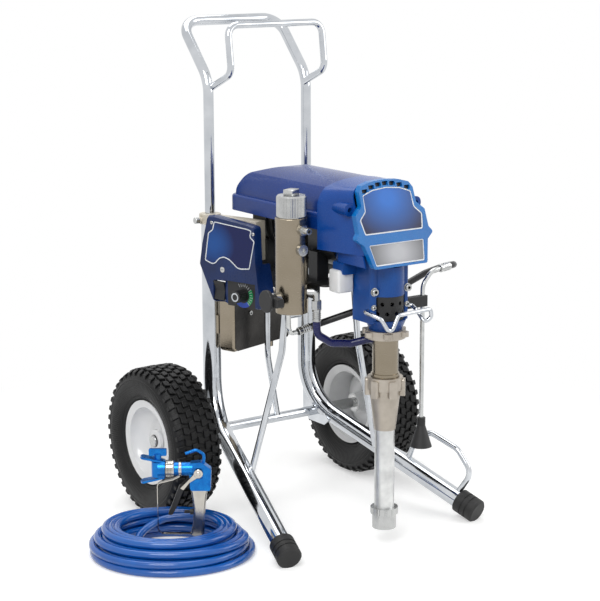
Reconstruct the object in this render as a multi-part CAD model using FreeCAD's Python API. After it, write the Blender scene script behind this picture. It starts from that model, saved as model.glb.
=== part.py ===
import FreeCAD, Part
import math
import os
from FreeCAD import Vector, Placement, Rotation

# Airless paint sprayer on a two-wheeled cart. Millimetres, +Z up, the front looks along -Y.
# Everything is built about a point on the floor under the middle of the axle, and moved at
# the end so that the origin is the bottom centre of the whole sprayer's box.

# ---- wheels and axle
WHEEL_R = 163.0
TYRE_W = 112.0
SHOULDER_DROP = 6.0
TRACK = 534.0
RIM_R = 92.0
RIM_W = 86.0
BEAD_R = 78.0
HUB_R = 21.0
HUB_LEN = 44.0
AXLE_R = 7.9
AXLE_CAP_L = 6.0
BEARING_R = 17.5
BEARING_W = 12.0
AXLE_TUBE_R = 11.0
RUN_CLEAR = 0.06
LUGS_ROUND = 22
LUG_GAP = 7.0
RIB_W = 19.0
TREAD_DEEP = 5.0

# ---- welded frame
RAIL_X = 127.0
RAIL_Y = 21.0
RAIL_R = 20.0
RAIL_WALL = 2.0
RAIL_TOP_Z = 634.0
RAIL_BEND_R = 125.0
KNEE_Z = 192.0
FOOT_X = 244.0
FOOT_Y = -449.0
FOOT_R = 26.0
FOOT_LEN = 50.0
FLOOR_CUT = 4.0
BRACE_R = 7.0
CROSS_TUBE_Z = 388.0
GUSSET_T = 5.0

# ---- telescoping handle
HANDLE_R = 11.1
HANDLE_WALL = 1.6
HANDLE_BEND_Z = 929.0
HANDLE_TOP_Z = 1049.0
HANDLE_TOP_Y = 130.0
HANDLE_CORNER_R = 42.0
HANDLE_DROP = 250.0
HANGER_R = 7.4
HANGER_FRONT_Y = -52.0
COLLAR_R = 23.5
COLLAR_H = 22.0
PLUNGER_R = 4.0
PLUNGER_KNOB_R = 7.0

# ---- motor, shroud and drive
SHROUD_W = 206.0
SHROUD_TOP_Z = 754.0
SHROUD_LOW_Z = 655.0
SHROUD_REAR_Y = -12.0
SHROUD_WALL = 3.0
SEAM_Y = -345.0
SEAM_GAP = 0.3
MOTOR_Z = 640.0
MOTOR_R = 76.0
MOTOR_WALL = 6.0
MOTOR_REAR_Y = -70.0
MOTOR_FRONT_Y = -352.0
ROTOR_R = 50.0
ROTOR_LEN = 150.0
COVER_W = 206.0
COVER_LOW_Z = 615.0
COVER_FRONT_W = 150.0
CHIN_LOW_Z = 593.0
COVER_WALL = 3.0
BEZEL_TOP_Y = -430.0
BEZEL_LEAN = 19.3
BEZEL_T = 14.0
PUMP_Y = -437.0
CRANK_Z = 640.0
CROSSHEAD_R = 37.0
CROSSHEAD_BORE = 27.0
HOUSING_HALF_W = 48.0
HOUSING_LOW_Z = 455.0
NECK_R = 33.0
BASE_Z = 541.0
BASE_T = 5.0

WINDOW_HALF_W = 36.0
WINDOW_LOW_Z = HOUSING_LOW_Z + 22.0
WINDOW_H = 50.0
WINDOW_CORNER_R = 4.0
BARREL_TOP_Z = 586.0

# ---- gear train and crank
PINION_TEETH = 12
WHEEL_TEETH = 36
GEAR_MODULE = 2.0
GEAR_BACK = 0.12
GEAR_W = 14.0
LAY_PIN_R = 6.0
CRANK_BOSS_R = 26.0
CRANK_PIN_R = 8.0
LAY_Y = MOTOR_FRONT_Y - 18.0
CRANK_FACE_Y = MOTOR_FRONT_Y - 50.0

# ---- displacement pump
ROD_R = 9.5
STROKE = 28.0
PUMP_R = 26.5
PUMP_BORE = 19.0
PUMP_LOW_Z = 352.0
NUT_R = 46.0
NUT_H = 17.0
NUT_LOBES = 6
INTAKE_TOP_R = 36.0
INTAKE_LOW_Z = 246.0
SUCTION_R = 20.5
SUCTION_BORE = 17.5
STRAINER_R = 28.5
STRAINER_LOW_Z = 36.0
BASKET_R = 25.0
BASKET_H = 32.0

ROD_EYE_BACK = 14.0
ROD_EYE_FRONT = -3.0

# ---- filter and hoses
FILTER_X = -138.0
FILTER_Y = -305.0
FILTER_R = 33.5
FILTER_BORE = 26.0
FILTER_LOW_Z = 483.0
FILTER_TOP_Z = 679.0
FILTER_CAP_R = 31.0
FILTER_CAP_H = 44.0
OUTLET_Z = 657.0
PLUG_Z = 616.0
VALVE_Z = 513.0
PUMP_HOSE_R = 8.0
DRAIN_HOSE_R = 7.0
DRAIN_TUBE_R = 4.7
DRAIN_X = 95.0

# ---- control box, turned in plan about the left rail
BOX_TURN = 17.0
BOX_OUT = 55.0
BOX_DEPTH = 33.0
BOX_FLARE = 10.0
CASE_H = 84.0
CASE_D = 33.0
BOX_LIP = 16.0
BOX_NEAR = 28.0
BOX_FAR = 172.0
BOX_TOP_Z = 648.0
BOX_LOW_Z = 460.0
BOX_WALL = 3.0
BOARD_LOW_Z = 342.0
BOARD_T = 46.0
BOARD_OUT = 8.0
BOARD_DEPTH = 196.0
KNOB_R = 13.0
KNOB_LEN = 28.0
KNOB_AHEAD = 133.0
KNOB_Z = 486.0
ROCKER_AHEAD = 69.0
ROCKER_W = 28.0
ROCKER_LOW_Z = 469.0
ROCKER_H = 41.0
ROCKER_PIN_IN = 5.0

# ---- spray gun, standing inside the coil
GUN_X = -340.0
GUN_Y = -256.0
GUN_Z = 38.0
GUN_TURN = 145.15
BARREL_Z = 138.0
BARREL_R = 14.0
HANDLE_LEN = 94.0
TRIGGER_PIN_R = 3.0
PIVOT_X = -4.0
PIVOT_Z = BARREL_Z - 7.0
TIP_X = 78.0
STRAP_X = 80.0
GRIP_FRONT_X = 8.2
SPIGOT_R = 9.0
SWIVEL_DROP = 8.0

# ---- paint hose, coiled on the floor
HOSE_R = 8.0
COIL_X = -388.0
COIL_Y = -230.0
COIL_LONG = 177.0
COIL_SHORT = 158.0
COIL_BAND = 88.0
COIL_H = 70.0
COIL_TURN = -34.85

HOSE_NODES = ("hose_coil", "hose_tail", "hose_fittings")

# ---- clearances
FACE_GAP = 0.3
SLIDE_CLEAR = 0.08

X_AXIS = Vector(1, 0, 0)
Y_AXIS = Vector(0, 1, 0)
Z_AXIS = Vector(0, 0, 1)


# ---------------------------------------------------------------- shape helpers
def rod(radius, start, end):
    span = end - start
    return Part.makeCylinder(radius, span.Length, start, span)


def ring(outer, inner, start, end):
    span = end - start
    past = span.normalize() * 1.0
    return rod(outer, start, end).cut(rod(inner, start - past, end + past))


def block(x0, x1, y0, y1, z0, z1):
    return Part.makeBox(x1 - x0, y1 - y0, z1 - z0, Vector(x0, y0, z0))


def hexagon(across, start, end):
    span = end - start
    radius = across / math.sqrt(3)
    points = [Vector(radius * math.cos(k * math.pi / 3), radius * math.sin(k * math.pi / 3), 0)
              for k in range(7)]
    prism = Part.Face(Part.makePolygon(points)).extrude(Vector(0, 0, span.Length))
    prism.Placement = Placement(start, Rotation(Z_AXIS, span))
    return prism


def rounded_path(points, radius, closed=False):
    """A wire of straight runs joined by tangent arcs."""
    count = len(points)
    corners = range(count) if closed else range(1, count - 1)
    arcs = {}
    for k in corners:
        before, corner, after = points[k - 1], points[k], points[(k + 1) % count]
        to_before = (before - corner).normalize()
        to_after = (after - corner).normalize()
        half = to_before.getAngle(to_after) / 2
        if math.pi / 2 - half < 0.01:
            continue
        room = 0.49 * min((before - corner).Length, (after - corner).Length)
        reach = min((radius[k] if isinstance(radius, dict) else radius) / math.tan(half), room)
        bend = reach * math.tan(half)
        middle = (to_before + to_after).normalize()
        centre = corner + middle * (bend / math.sin(half))
        arcs[k] = (corner + to_before * reach, centre - middle * bend, corner + to_after * reach)
    edges = []
    first = arcs[0][2] if closed and 0 in arcs else points[0]
    here = first
    for k in list(range(1, count)) + ([0] if closed else []):
        if k in arcs:
            start, middle, end = arcs[k]
            if (start - here).Length > 1e-6:
                edges.append(Part.LineSegment(here, start).toShape())
            edges.append(Part.Arc(start, middle, end).toShape())
            here = end
        elif (points[k] - here).Length > 1e-6:
            edges.append(Part.LineSegment(here, points[k]).toShape())
            here = points[k]
    return Part.Wire(edges)


def follow(path, section):
    """Run a flat section along straight and circular edges; section(at, direction) gives its face."""
    pieces = []
    for edge in path.Edges:
        curve, first, last = edge.Curve, edge.FirstParameter, edge.LastParameter
        start = curve.value(first)
        face = section(start, edge.tangentAt(first))
        if isinstance(curve, Part.Circle):
            pieces.append(face.revolve(curve.Center, curve.Axis, math.degrees(last - first)))
        else:
            pieces.append(face.extrude(curve.value(last) - start))
    return pieces[0].fuse(pieces[1:]) if len(pieces) > 1 else pieces[0]


def sweep(path, radius):
    def disc(at, direction):
        return Part.Face(Part.Wire(Part.makeCircle(radius, at, direction)))
    return follow(path, disc)


def bent_rod(points, radius, bend):
    return sweep(rounded_path(points, bend), radius)


def bent_tube(points, radius, wall, bend):
    def annulus(at, direction):
        disc = Part.Face(Part.Wire(Part.makeCircle(radius, at, direction)))
        return disc.cut(Part.Face(Part.Wire(Part.makeCircle(radius - wall, at, direction)))).Faces[0]
    return follow(rounded_path(points, bend), annulus)


def plate(points, radius, thickness):
    """A prism on a rounded outline; thickness is the vector it is thickened along."""
    return Part.Face(rounded_path(points, radius, closed=True)).extrude(thickness)


def revolve(points, base, axis):
    face = Part.Face(Part.makePolygon(points + [points[0]]))
    return face.revolve(base, axis, 360)


def soften(shape, radius, chosen):
    edges = [edge for edge in shape.Edges if chosen(edge)]
    return shape.makeFillet(radius, edges) if edges else shape


def along(edge, axis):
    if not isinstance(edge.Curve, Part.Line):
        return False
    return abs(abs(edge.tangentAt(edge.FirstParameter).dot(axis)) - 1) < 1e-6


# ---------------------------------------------------------------- frame
def leg_points(side):
    return [Vector(side * RAIL_X, RAIL_Y, RAIL_TOP_Z),
            Vector(side * RAIL_X, RAIL_Y, KNEE_Z),
            foot_front(side)]


def leg_drop():
    run = math.hypot(FOOT_X - RAIL_X, FOOT_Y - RAIL_Y)
    return run, math.atan2(KNEE_Z - FOOT_R, run)


def foot_front(side):
    slope = leg_drop()[1]
    return Vector(side * FOOT_X, FOOT_Y, FOOT_R * math.cos(slope) - FLOOR_CUT)


def leg_direction(side):
    return (foot_front(side) - leg_points(side)[1]).normalize()


def leg_at(side, share):
    knee = leg_points(side)[1]
    return knee + (foot_front(side) - knee) * share


def rail(side):
    """One bent frame tube, from the handle's collar down and forward into the foot cap."""
    top, knee, foot = leg_points(side)
    end = foot - leg_direction(side) * (0.3 * FOOT_LEN)
    return bent_tube([top, knee, end], RAIL_R, RAIL_WALL, RAIL_BEND_R)


def rail_envelope(side):
    top, knee, foot = leg_points(side)
    return bent_rod([top, knee, foot], RAIL_R, RAIL_BEND_R)


def foot_cap(side):
    """A moulded rubber boot on the end of a leg, with ribs round it and a flat on the floor."""
    foot = foot_front(side)
    back = foot - leg_direction(side) * FOOT_LEN
    boot = rod(FOOT_R, back, foot)
    boot = boot.makeChamfer(4.0, [e for e in boot.Edges if (e.CenterOfMass - foot).Length < 1])
    socket = rod(RAIL_R, back, foot - leg_direction(side) * (0.3 * FOOT_LEN))
    for share in (0.35, 0.6):
        at = back + leg_direction(side) * (FOOT_LEN * share)
        groove = ring(FOOT_R + 1, FOOT_R - 1.2, at, at + leg_direction(side) * 3.0)
        boot = boot.cut(groove)
    floor = block(-1000, 1000, -1000, 1000, -100, 0)
    return boot.cut(socket).cut(floor)


def collar(side):
    """The bright sleeve on a rail's top that guides the handle tube."""
    at = Vector(side * RAIL_X, RAIL_Y, RAIL_TOP_Z)
    low = at - Z_AXIS * COLLAR_H * 0.6
    body = rod(COLLAR_R, low, at + Z_AXIS * COLLAR_H * 0.4)
    body = soften(body, 2.0, lambda e: e.CenterOfMass.z > at.z and isinstance(e.Curve, Part.Circle))
    boss_end = at + Vector(side * (COLLAR_R + 6), 0, -COLLAR_H * 0.2)
    boss_start = Vector(at.x, at.y, boss_end.z)
    body = body.fuse(rod(PLUNGER_R + 3, boss_start, boss_end))
    body = body.cut(rod(RAIL_R, low - Z_AXIS, at))
    body = body.cut(rod(HANDLE_R + SLIDE_CLEAR, low - Z_AXIS, at + Z_AXIS * COLLAR_H))
    return body.cut(rod(PLUNGER_R + RUN_CLEAR, boss_start, boss_end + X_AXIS * side))


def plunger_axis_z():
    return RAIL_TOP_Z - COLLAR_H * 0.2


def rail_with_plunger_hole(side):
    at = Vector(side * RAIL_X, RAIL_Y, plunger_axis_z())
    bored = rail(side).cut(rod(PLUNGER_R + RUN_CLEAR, at, at + X_AXIS * side * 2 * RAIL_R))
    return bored.cut(rod(AXLE_TUBE_R, Vector(side * 60, 0, WHEEL_R), Vector(side * 200, 0, WHEEL_R)))


def plunger(side):
    """The spring-loaded pin that locks the handle's height, with its pull knob."""
    at = Vector(side * RAIL_X, RAIL_Y, plunger_axis_z())
    out = X_AXIS * side
    tip = at + out * (HANDLE_R + FACE_GAP)
    seat = at + out * (COLLAR_R + 6 + FACE_GAP)
    knob = rod(PLUNGER_KNOB_R, seat, seat + out * 10)
    knob = soften(knob, 2.0, lambda e: (e.CenterOfMass - seat).Length > 9)
    return rod(PLUNGER_R, tip, seat).fuse(knob)


def axle_beam():
    """The cross tube between the legs and the gusset plates that carry it."""
    tube = ring(AXLE_TUBE_R, AXLE_R + SLIDE_CLEAR,
                Vector(-RAIL_X - 12, 0, WHEEL_R), Vector(RAIL_X + 12, 0, WHEEL_R))
    beam = tube
    for side in (-1, 1):
        x = side * RAIL_X - GUSSET_T / 2
        low = WHEEL_R - 2.0 * AXLE_TUBE_R
        outline = [Vector(x, RAIL_Y + 12, KNEE_Z + 52), Vector(x, RAIL_Y + 10, WHEEL_R), Vector(x, 8, low),
                   Vector(x, -52, low), Vector(x, -70, WHEEL_R - 8), Vector(x, -2, KNEE_Z + 16)]
        gusset = plate(outline, 5.0, X_AXIS * GUSSET_T)
        hole = rod(AXLE_TUBE_R, Vector(x - 1, 0, WHEEL_R), Vector(x + GUSSET_T + 1, 0, WHEEL_R))
        beam = beam.fuse(gusset.cut(hole).cut(rail_envelope(side)))
    return beam


def front_brace(side):
    """A thin tube from the motor base's corner down to the leg."""
    points = [Vector(side * 84, -213, BASE_Z - 3), Vector(side * 99, -211, 376),
              leg_at(side, 0.45) + Vector(-side * 15, 0, 4)]
    return bent_rod(points, BRACE_R, 60).cut(rail_envelope(side)).cut(motor_base())


def centre_braces():
    """The tube across the rails behind the motor and the strut from it to the axle tube."""
    across = rod(BRACE_R, Vector(-RAIL_X, RAIL_Y, CROSS_TUBE_Z), Vector(RAIL_X, RAIL_Y, CROSS_TUBE_Z))
    across = across.cut(rail_envelope(-1)).cut(rail_envelope(1))
    strut = bent_rod([Vector(-12, -52, BASE_Z - BASE_T - 2.2), Vector(-33, -58, 470), Vector(-33, -58, 330),
                      Vector(32, 0, WHEEL_R)], BRACE_R - 0.5, 55)
    strut = strut.cut(rod(AXLE_TUBE_R, Vector(-RAIL_X, 0, WHEEL_R), Vector(RAIL_X, 0, WHEEL_R)))
    return Part.makeCompound([across, strut])


def leg_loop():
    """The round-bar loop standing on the right leg."""
    rise = {0.60: 0, 0.655: 76, 0.735: 108, 0.885: 110, 0.965: 78, 0.875: 0}
    points = [leg_at(1, share) + Z_AXIS * height for share, height in rise.items()]
    return bent_rod(points, 6.3, 30).cut(rail_envelope(1))


# ---------------------------------------------------------------- handle
def handle():
    """The telescoping hoop with the pail hanger welded across it."""
    low_z = RAIL_TOP_Z - HANDLE_DROP - 110
    sides = [Vector(-RAIL_X, RAIL_Y, low_z + HANDLE_DROP), Vector(-RAIL_X, RAIL_Y, HANDLE_BEND_Z),
             Vector(-RAIL_X, HANDLE_TOP_Y, HANDLE_TOP_Z)]
    hoop = sides + [Vector(-p.x, p.y, p.z) for p in reversed(sides)]
    grip = bent_tube(hoop, HANDLE_R, HANDLE_WALL,
                     {1: 80.0, 2: HANDLE_CORNER_R, 3: HANDLE_CORNER_R, 4: 80.0})
    solid_hoop = sweep(rounded_path(hoop, {1: 80.0, 2: HANDLE_CORNER_R, 3: HANDLE_CORNER_R, 4: 80.0}),
                       HANDLE_R)
    weld_x = RAIL_X - 7
    left = [Vector(-weld_x, RAIL_Y - 4, HANDLE_BEND_Z - 15),
            Vector(-weld_x, HANGER_FRONT_Y - 8, HANDLE_BEND_Z + 18),
            Vector(-weld_x, HANGER_FRONT_Y + 5, HANDLE_TOP_Z - 2)]
    bar = left + [Vector(-p.x, p.y, p.z) for p in reversed(left)]
    hanger = bent_rod(bar, HANGER_R, 24).cut(solid_hoop)
    return grip.fuse(hanger)


# ---------------------------------------------------------------- wheels
def side_face(side):
    return side * TRACK / 2


def tread_half():
    """Half of the tread's outline from the crown out: three ribs, the grooves beside them, the shoulder."""
    pitch = TYRE_W / 5
    groove = pitch - RIB_W
    edge = RIB_W / 2
    shoulder_r = WHEEL_R - SHOULDER_DROP
    return [(0, WHEEL_R), (edge, WHEEL_R), (edge, WHEEL_R - TREAD_DEEP), (edge + groove, WHEEL_R - TREAD_DEEP),
            (edge + groove, WHEEL_R - 0.5), (edge + pitch, WHEEL_R - 1.0), (edge + pitch, WHEEL_R - TREAD_DEEP),
            (edge + pitch + groove, WHEEL_R - TREAD_DEEP), (edge + pitch + groove, WHEEL_R - 1.5),
            (TYRE_W / 2 - 6, shoulder_r), (TYRE_W / 2 - 2, shoulder_r - 14)]


def tyre(side):
    """A pneumatic tyre with a turf tread: five ribs cut across into blocks, staggered round it."""
    x = side_face(side)
    half = TYRE_W / 2
    bead = RIM_W / 2 - 6 - FACE_GAP
    wall = [(half, RIM_R + 34), (half - 5, RIM_R + 12), (bead, RIM_R + FACE_GAP), (bead, BEAD_R + FACE_GAP)]
    inner = [(bead - 9, BEAD_R + FACE_GAP), (half - 7, RIM_R + 34), (half - 14, WHEEL_R - 24),
             (0, WHEEL_R - TREAD_DEEP - 12)]
    half_line = tread_half() + wall + inner
    right = [Vector(x + u, 0, WHEEL_R + r) for u, r in half_line]
    left = [Vector(x - u, 0, WHEEL_R + r) for u, r in reversed(half_line[1:-1])]
    carcass = revolve(right + left, Vector(x, 0, WHEEL_R), X_AXIS)
    pitch = 360.0 / LUGS_ROUND
    middle = 2.5 * TYRE_W / 5 - TYRE_W / 5 + 1
    cuts = []
    for k in range(LUGS_ROUND):
        for low, high, turn in ((-middle, middle, 0), (middle, half + 2, 0.5), (-half - 2, -middle, 0.5)):
            wide = LUG_GAP if turn == 0 else 1.8 * LUG_GAP
            cut = block(x + low, x + high, -wide / 2, wide / 2,
                        2 * WHEEL_R - (TREAD_DEEP if turn == 0 else SHOULDER_DROP + 4), 2 * WHEEL_R + 5)
            cut.rotate(Vector(x, 0, WHEEL_R), X_AXIS, (k + turn) * pitch)
            cuts.append(cut)
    return carcass.cut(Part.makeCompound(cuts))


def rim(side):
    """A pressed steel wheel: rolled flanges, one smooth outer bowl and a hub tube."""
    x = side_face(side)
    half = RIM_W / 2
    c = WHEEL_R

    def at(u, r):
        return Vector(x + side * u, 0, c + r)
    outer_bowl = [Part.Arc(at(half - 3.5, BEAD_R - 2), at(20, 67), at(8, 46)).toShape(),
                  Part.Arc(at(8, 46), at(9.5, 32), at(14, HUB_R + 1)).toShape()]
    inner_bowl = [Part.Arc(at(11, HUB_R + 1), at(6.5, 32), at(5, 46)).toShape(),
                  Part.Arc(at(5, 46), at(14, 65), at(half - 16, BEAD_R - 3)).toShape()]
    ends = [(half - 16, BEAD_R - 3), (-half + 6, BEAD_R - 3), (-half + 3, BEAD_R + 2), (-half, RIM_R),
            (-half + 4, RIM_R), (-half + 6, BEAD_R), (half - 6, BEAD_R), (half - 4, RIM_R),
            (half - 1, RIM_R), (half - 1, RIM_R - 3), (half - 3.5, BEAD_R - 2)]
    lines = [Part.LineSegment(at(*ends[k]), at(*ends[k + 1])).toShape() for k in range(len(ends) - 1)]
    step = Part.LineSegment(at(14, HUB_R + 1), at(11, HUB_R + 1)).toShape()
    wire = Part.Wire(outer_bowl + [step] + inner_bowl + lines)
    pressing = Part.Face(wire).revolve(Vector(x, 0, c), X_AXIS, 360)
    pressing = pressing.cut(rod(3.5, Vector(x - 60, 0, c + 60), Vector(x + 60, 0, c + 60)))
    hub = ring(HUB_R + 1, AXLE_R + 3, Vector(x - side * HUB_LEN / 2, 0, c), Vector(x + side * HUB_LEN / 2, 0, c))
    for end in (-1, 1):
        face = x + end * HUB_LEN / 2
        hub = hub.cut(rod(BEARING_R, Vector(face - end * BEARING_W, 0, c), Vector(face + end, 0, c)))
    return pressing.fuse(hub)


def wheel_bearings(side):
    x = side_face(side)
    rings = []
    for end in (-1, 1):
        face = x + end * HUB_LEN / 2
        rings.append(ring(BEARING_R, AXLE_R + RUN_CLEAR,
                          Vector(face - end * BEARING_W, 0, WHEEL_R), Vector(face, 0, WHEEL_R)))
    return Part.makeCompound(rings)


def axle():
    """The solid axle with a collar inside each wheel and a push-on cap outside it."""
    end = TRACK / 2 + HUB_LEN / 2 + AXLE_CAP_L
    pieces = [rod(AXLE_R, Vector(-end, 0, WHEEL_R), Vector(end, 0, WHEEL_R))]
    for side in (-1, 1):
        outer = side * (TRACK / 2 + HUB_LEN / 2 + FACE_GAP)
        cap = rod(AXLE_R + 5, Vector(outer, 0, WHEEL_R), Vector(outer + side * AXLE_CAP_L, 0, WHEEL_R))
        cap = soften(cap, 3.0, lambda e: abs(e.CenterOfMass.x) > abs(outer) + AXLE_CAP_L - 1)
        cap = cap.cut(rod(AXLE_R, Vector(0, 0, WHEEL_R), Vector(side * end, 0, WHEEL_R)))
        inner = side * (TRACK / 2 - HUB_LEN / 2 - FACE_GAP)
        spacer = ring(AXLE_R + 4, AXLE_R, Vector(side * (RAIL_X + RAIL_R), 0, WHEEL_R), Vector(inner, 0, WHEEL_R))
        pieces += [cap, spacer]
    return Part.makeCompound(pieces)


# ---------------------------------------------------------------- motor and shroud
def crown(half_w, low_z, top_z, shoulder_z):
    """Closed front outline of a hood: straight sides, rounded shoulders, slightly domed top."""
    low_left, low_right = Vector(-half_w, 0, low_z), Vector(half_w, 0, low_z)
    left, right = Vector(-half_w * 0.97, 0, shoulder_z), Vector(half_w * 0.97, 0, shoulder_z)
    hip_left = Vector(-half_w * 0.78, 0, top_z - (top_z - shoulder_z) * 0.28)
    hip_right = Vector(-hip_left.x, 0, hip_left.z)
    edges = [Part.LineSegment(low_right, low_left).toShape(), Part.LineSegment(low_left, left).toShape(),
             Part.Arc(left, left + (hip_left - left) * 0.5 + Vector(-3, 0, 5), hip_left).toShape(),
             Part.Arc(hip_left, Vector(0, 0, top_z), hip_right).toShape(),
             Part.Arc(hip_right, right + (hip_right - right) * 0.5 + Vector(3, 0, 5), right).toShape(),
             Part.LineSegment(right, low_right).toShape()]
    return Part.Wire(edges)


def hood(half_w, low_z, top_z, inset, y_front):
    """Shroud volume: the front outline run back, meeting the side profile that falls to the rear."""
    shoulder = top_z - 62
    front = Part.Face(crown(half_w, low_z, top_z, shoulder))
    front.translate(Vector(0, 60, 0))
    along_y = front.extrude(Vector(0, y_front - 60, 0))
    rear = SHROUD_REAR_Y - inset
    profile = [Vector(0, y_front, low_z), Vector(0, rear, low_z), Vector(0, rear - 4, top_z - 52),
               Vector(0, rear - 26, top_z - 20), Vector(0, rear - 84, top_z - 3),
               Vector(0, rear - 150, top_z + 1), Vector(0, y_front, top_z + 1)]
    side = Part.Face(rounded_path(profile, {3: 40.0, 4: 120.0, 5: 200.0, 2: 30.0, 0: 0.01, 1: 0.01, 6: 0.01},
                                  closed=True))
    side.translate(Vector(-half_w - 5, 0, 0))
    return along_y.common(side.extrude(Vector(2 * half_w + 10, 0, 0)))


def motor_shroud():
    """The moulded hood over the motor, open below and at the front, with a wider skirt band."""
    half = SHROUD_W / 2
    upper = hood(half - 8, SHROUD_LOW_Z, SHROUD_TOP_Z, 14, SEAM_Y + SEAM_GAP)
    skirt_top = SHROUD_LOW_Z + 34
    skirt = block(-half, half, SEAM_Y + SEAM_GAP, SHROUD_REAR_Y, SHROUD_LOW_Z, skirt_top)
    skirt = soften(skirt, 26, lambda e: along(e, Z_AXIS) and e.CenterOfMass.y > SHROUD_REAR_Y - 1)
    skirt = soften(skirt, 6, lambda e: e.CenterOfMass.z > skirt_top - 1 and e.CenterOfMass.y > SEAM_Y + 5)
    outside = upper.fuse(skirt)
    t = SHROUD_WALL
    core = hood(half - 8 - t, SHROUD_LOW_Z - 1, SHROUD_TOP_Z - t, 14 + t, SEAM_Y - 1)
    low_core = block(-half + t, half - t, SEAM_Y - 1, SHROUD_REAR_Y - t, SHROUD_LOW_Z - 1, skirt_top - t)
    low_core = soften(low_core, 24, lambda e: along(e, Z_AXIS) and e.CenterOfMass.y > SHROUD_REAR_Y - t - 1)
    return outside.cut(core).cut(low_core)


def motor_housing():
    """The finned motor can with its two end bells; the bearings' bores run through them."""
    def at(y):
        return Vector(0, y, MOTOR_Z)
    can = ring(MOTOR_R, MOTOR_R - MOTOR_WALL, at(MOTOR_REAR_Y), at(MOTOR_FRONT_Y))
    rear = ring(MOTOR_R - MOTOR_WALL, 10 + RUN_CLEAR, at(MOTOR_REAR_Y), at(MOTOR_REAR_Y - 10))
    front = ring(MOTOR_R - MOTOR_WALL, 10 + RUN_CLEAR, at(MOTOR_FRONT_Y), at(MOTOR_FRONT_Y + 12))
    body = can.fuse([rear, front])
    fins = []
    for k in range(5):
        y = MOTOR_REAR_Y - 50 - k * 24
        fins.append(ring(MOTOR_R + 4, MOTOR_R - 1, at(y), at(y - 5)))
    feet = [block(side * 62 - 14, side * 62 + 14, y - 15, y + 15, BASE_Z, MOTOR_Z - 40)
            for side in (-1, 1) for y in (MOTOR_REAR_Y - 40, MOTOR_FRONT_Y + 60)]
    body = body.fuse(fins + feet)
    return body.cut(rod(MOTOR_R - MOTOR_WALL, at(MOTOR_REAR_Y - 10), at(MOTOR_FRONT_Y + 12)))


def gear(teeth, y_back, y_front, x, z, turn):
    """A spur gear with trapezium teeth, its axis along Y through (x, z)."""
    root, tip = GEAR_MODULE * (teeth / 2 - 1.25), GEAR_MODULE * (teeth / 2 + 0.9)
    step = 2 * math.pi / teeth
    points = []
    for k in range(teeth):
        for share, radius in ((-0.27, root), (-0.12, tip), (0.12, tip), (0.27, root)):
            angle = (k + share) * step + math.radians(turn)
            points.append(Vector(x + radius * math.cos(angle), y_back, z + radius * math.sin(angle)))
    face = Part.Face(Part.makePolygon(points + [points[0]]))
    return face.extrude(Vector(0, y_front - y_back, 0))


def motor_rotor():
    """Rotor stack, shaft, cooling fan at the rear and the pinion at the front, in one piece."""
    def at(y):
        return Vector(0, y, MOTOR_Z)
    middle = (MOTOR_REAR_Y + MOTOR_FRONT_Y) / 2
    stack = rod(ROTOR_R, at(middle + ROTOR_LEN / 2), at(middle - ROTOR_LEN / 2))
    shaft = rod(10, at(MOTOR_REAR_Y + 30), at(MOTOR_FRONT_Y - 1))
    fan = rod(22, at(MOTOR_REAR_Y + 8), at(MOTOR_REAR_Y + 22))
    blades = []
    for k in range(9):
        blade = block(-1.5, 1.5, MOTOR_REAR_Y + 8, MOTOR_REAR_Y + 22, MOTOR_Z + 18, MOTOR_Z + 66)
        blade.rotate(at(0), Y_AXIS, k * 40)
        blades.append(blade)
    pinion = gear(PINION_TEETH, MOTOR_FRONT_Y - 1, MOTOR_FRONT_Y - 2 - GEAR_W, 0, MOTOR_Z, 0)
    return stack.fuse([shaft, fan, pinion] + blades)


def second_axis():
    """The lay shaft's axis: its wheel meshes with the motor pinion, its pinion with the crank gear."""
    reach = GEAR_MODULE * (PINION_TEETH + WHEEL_TEETH) / 2 + GEAR_BACK
    return Vector(reach, 0, MOTOR_Z)


def reduction_gear():
    """The lay gear: a wheel behind and a pinion in front on one pin."""
    at = second_axis()
    behind = MOTOR_FRONT_Y - 2
    middle = behind - GEAR_W
    big = gear(WHEEL_TEETH, behind, middle, at.x, at.z, 180.0 / WHEEL_TEETH)
    small = gear(PINION_TEETH, middle, middle - GEAR_W - 4, at.x, at.z, 0)
    pin = rod(LAY_PIN_R, Vector(at.x, behind, at.z), Vector(at.x, CRANK_FACE_Y + 7, at.z))
    return big.fuse([small, pin])


def crankshaft():
    """The last gear of the train with its journal and the crank pin standing out of its face."""
    behind = LAY_Y
    wheel = gear(WHEEL_TEETH, behind, behind - GEAR_W - 1, 0, CRANK_Z, 180.0 / WHEEL_TEETH)
    journal = rod(CRANK_BOSS_R, Vector(0, behind - GEAR_W, CRANK_Z), Vector(0, CRANK_FACE_Y, CRANK_Z))
    pin_z = CRANK_Z + STROKE / 2
    pin = rod(CRANK_PIN_R, Vector(0, CRANK_FACE_Y, pin_z), Vector(0, PUMP_Y + ROD_EYE_BACK + FACE_GAP, pin_z))
    return wheel.fuse([journal, pin])


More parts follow.
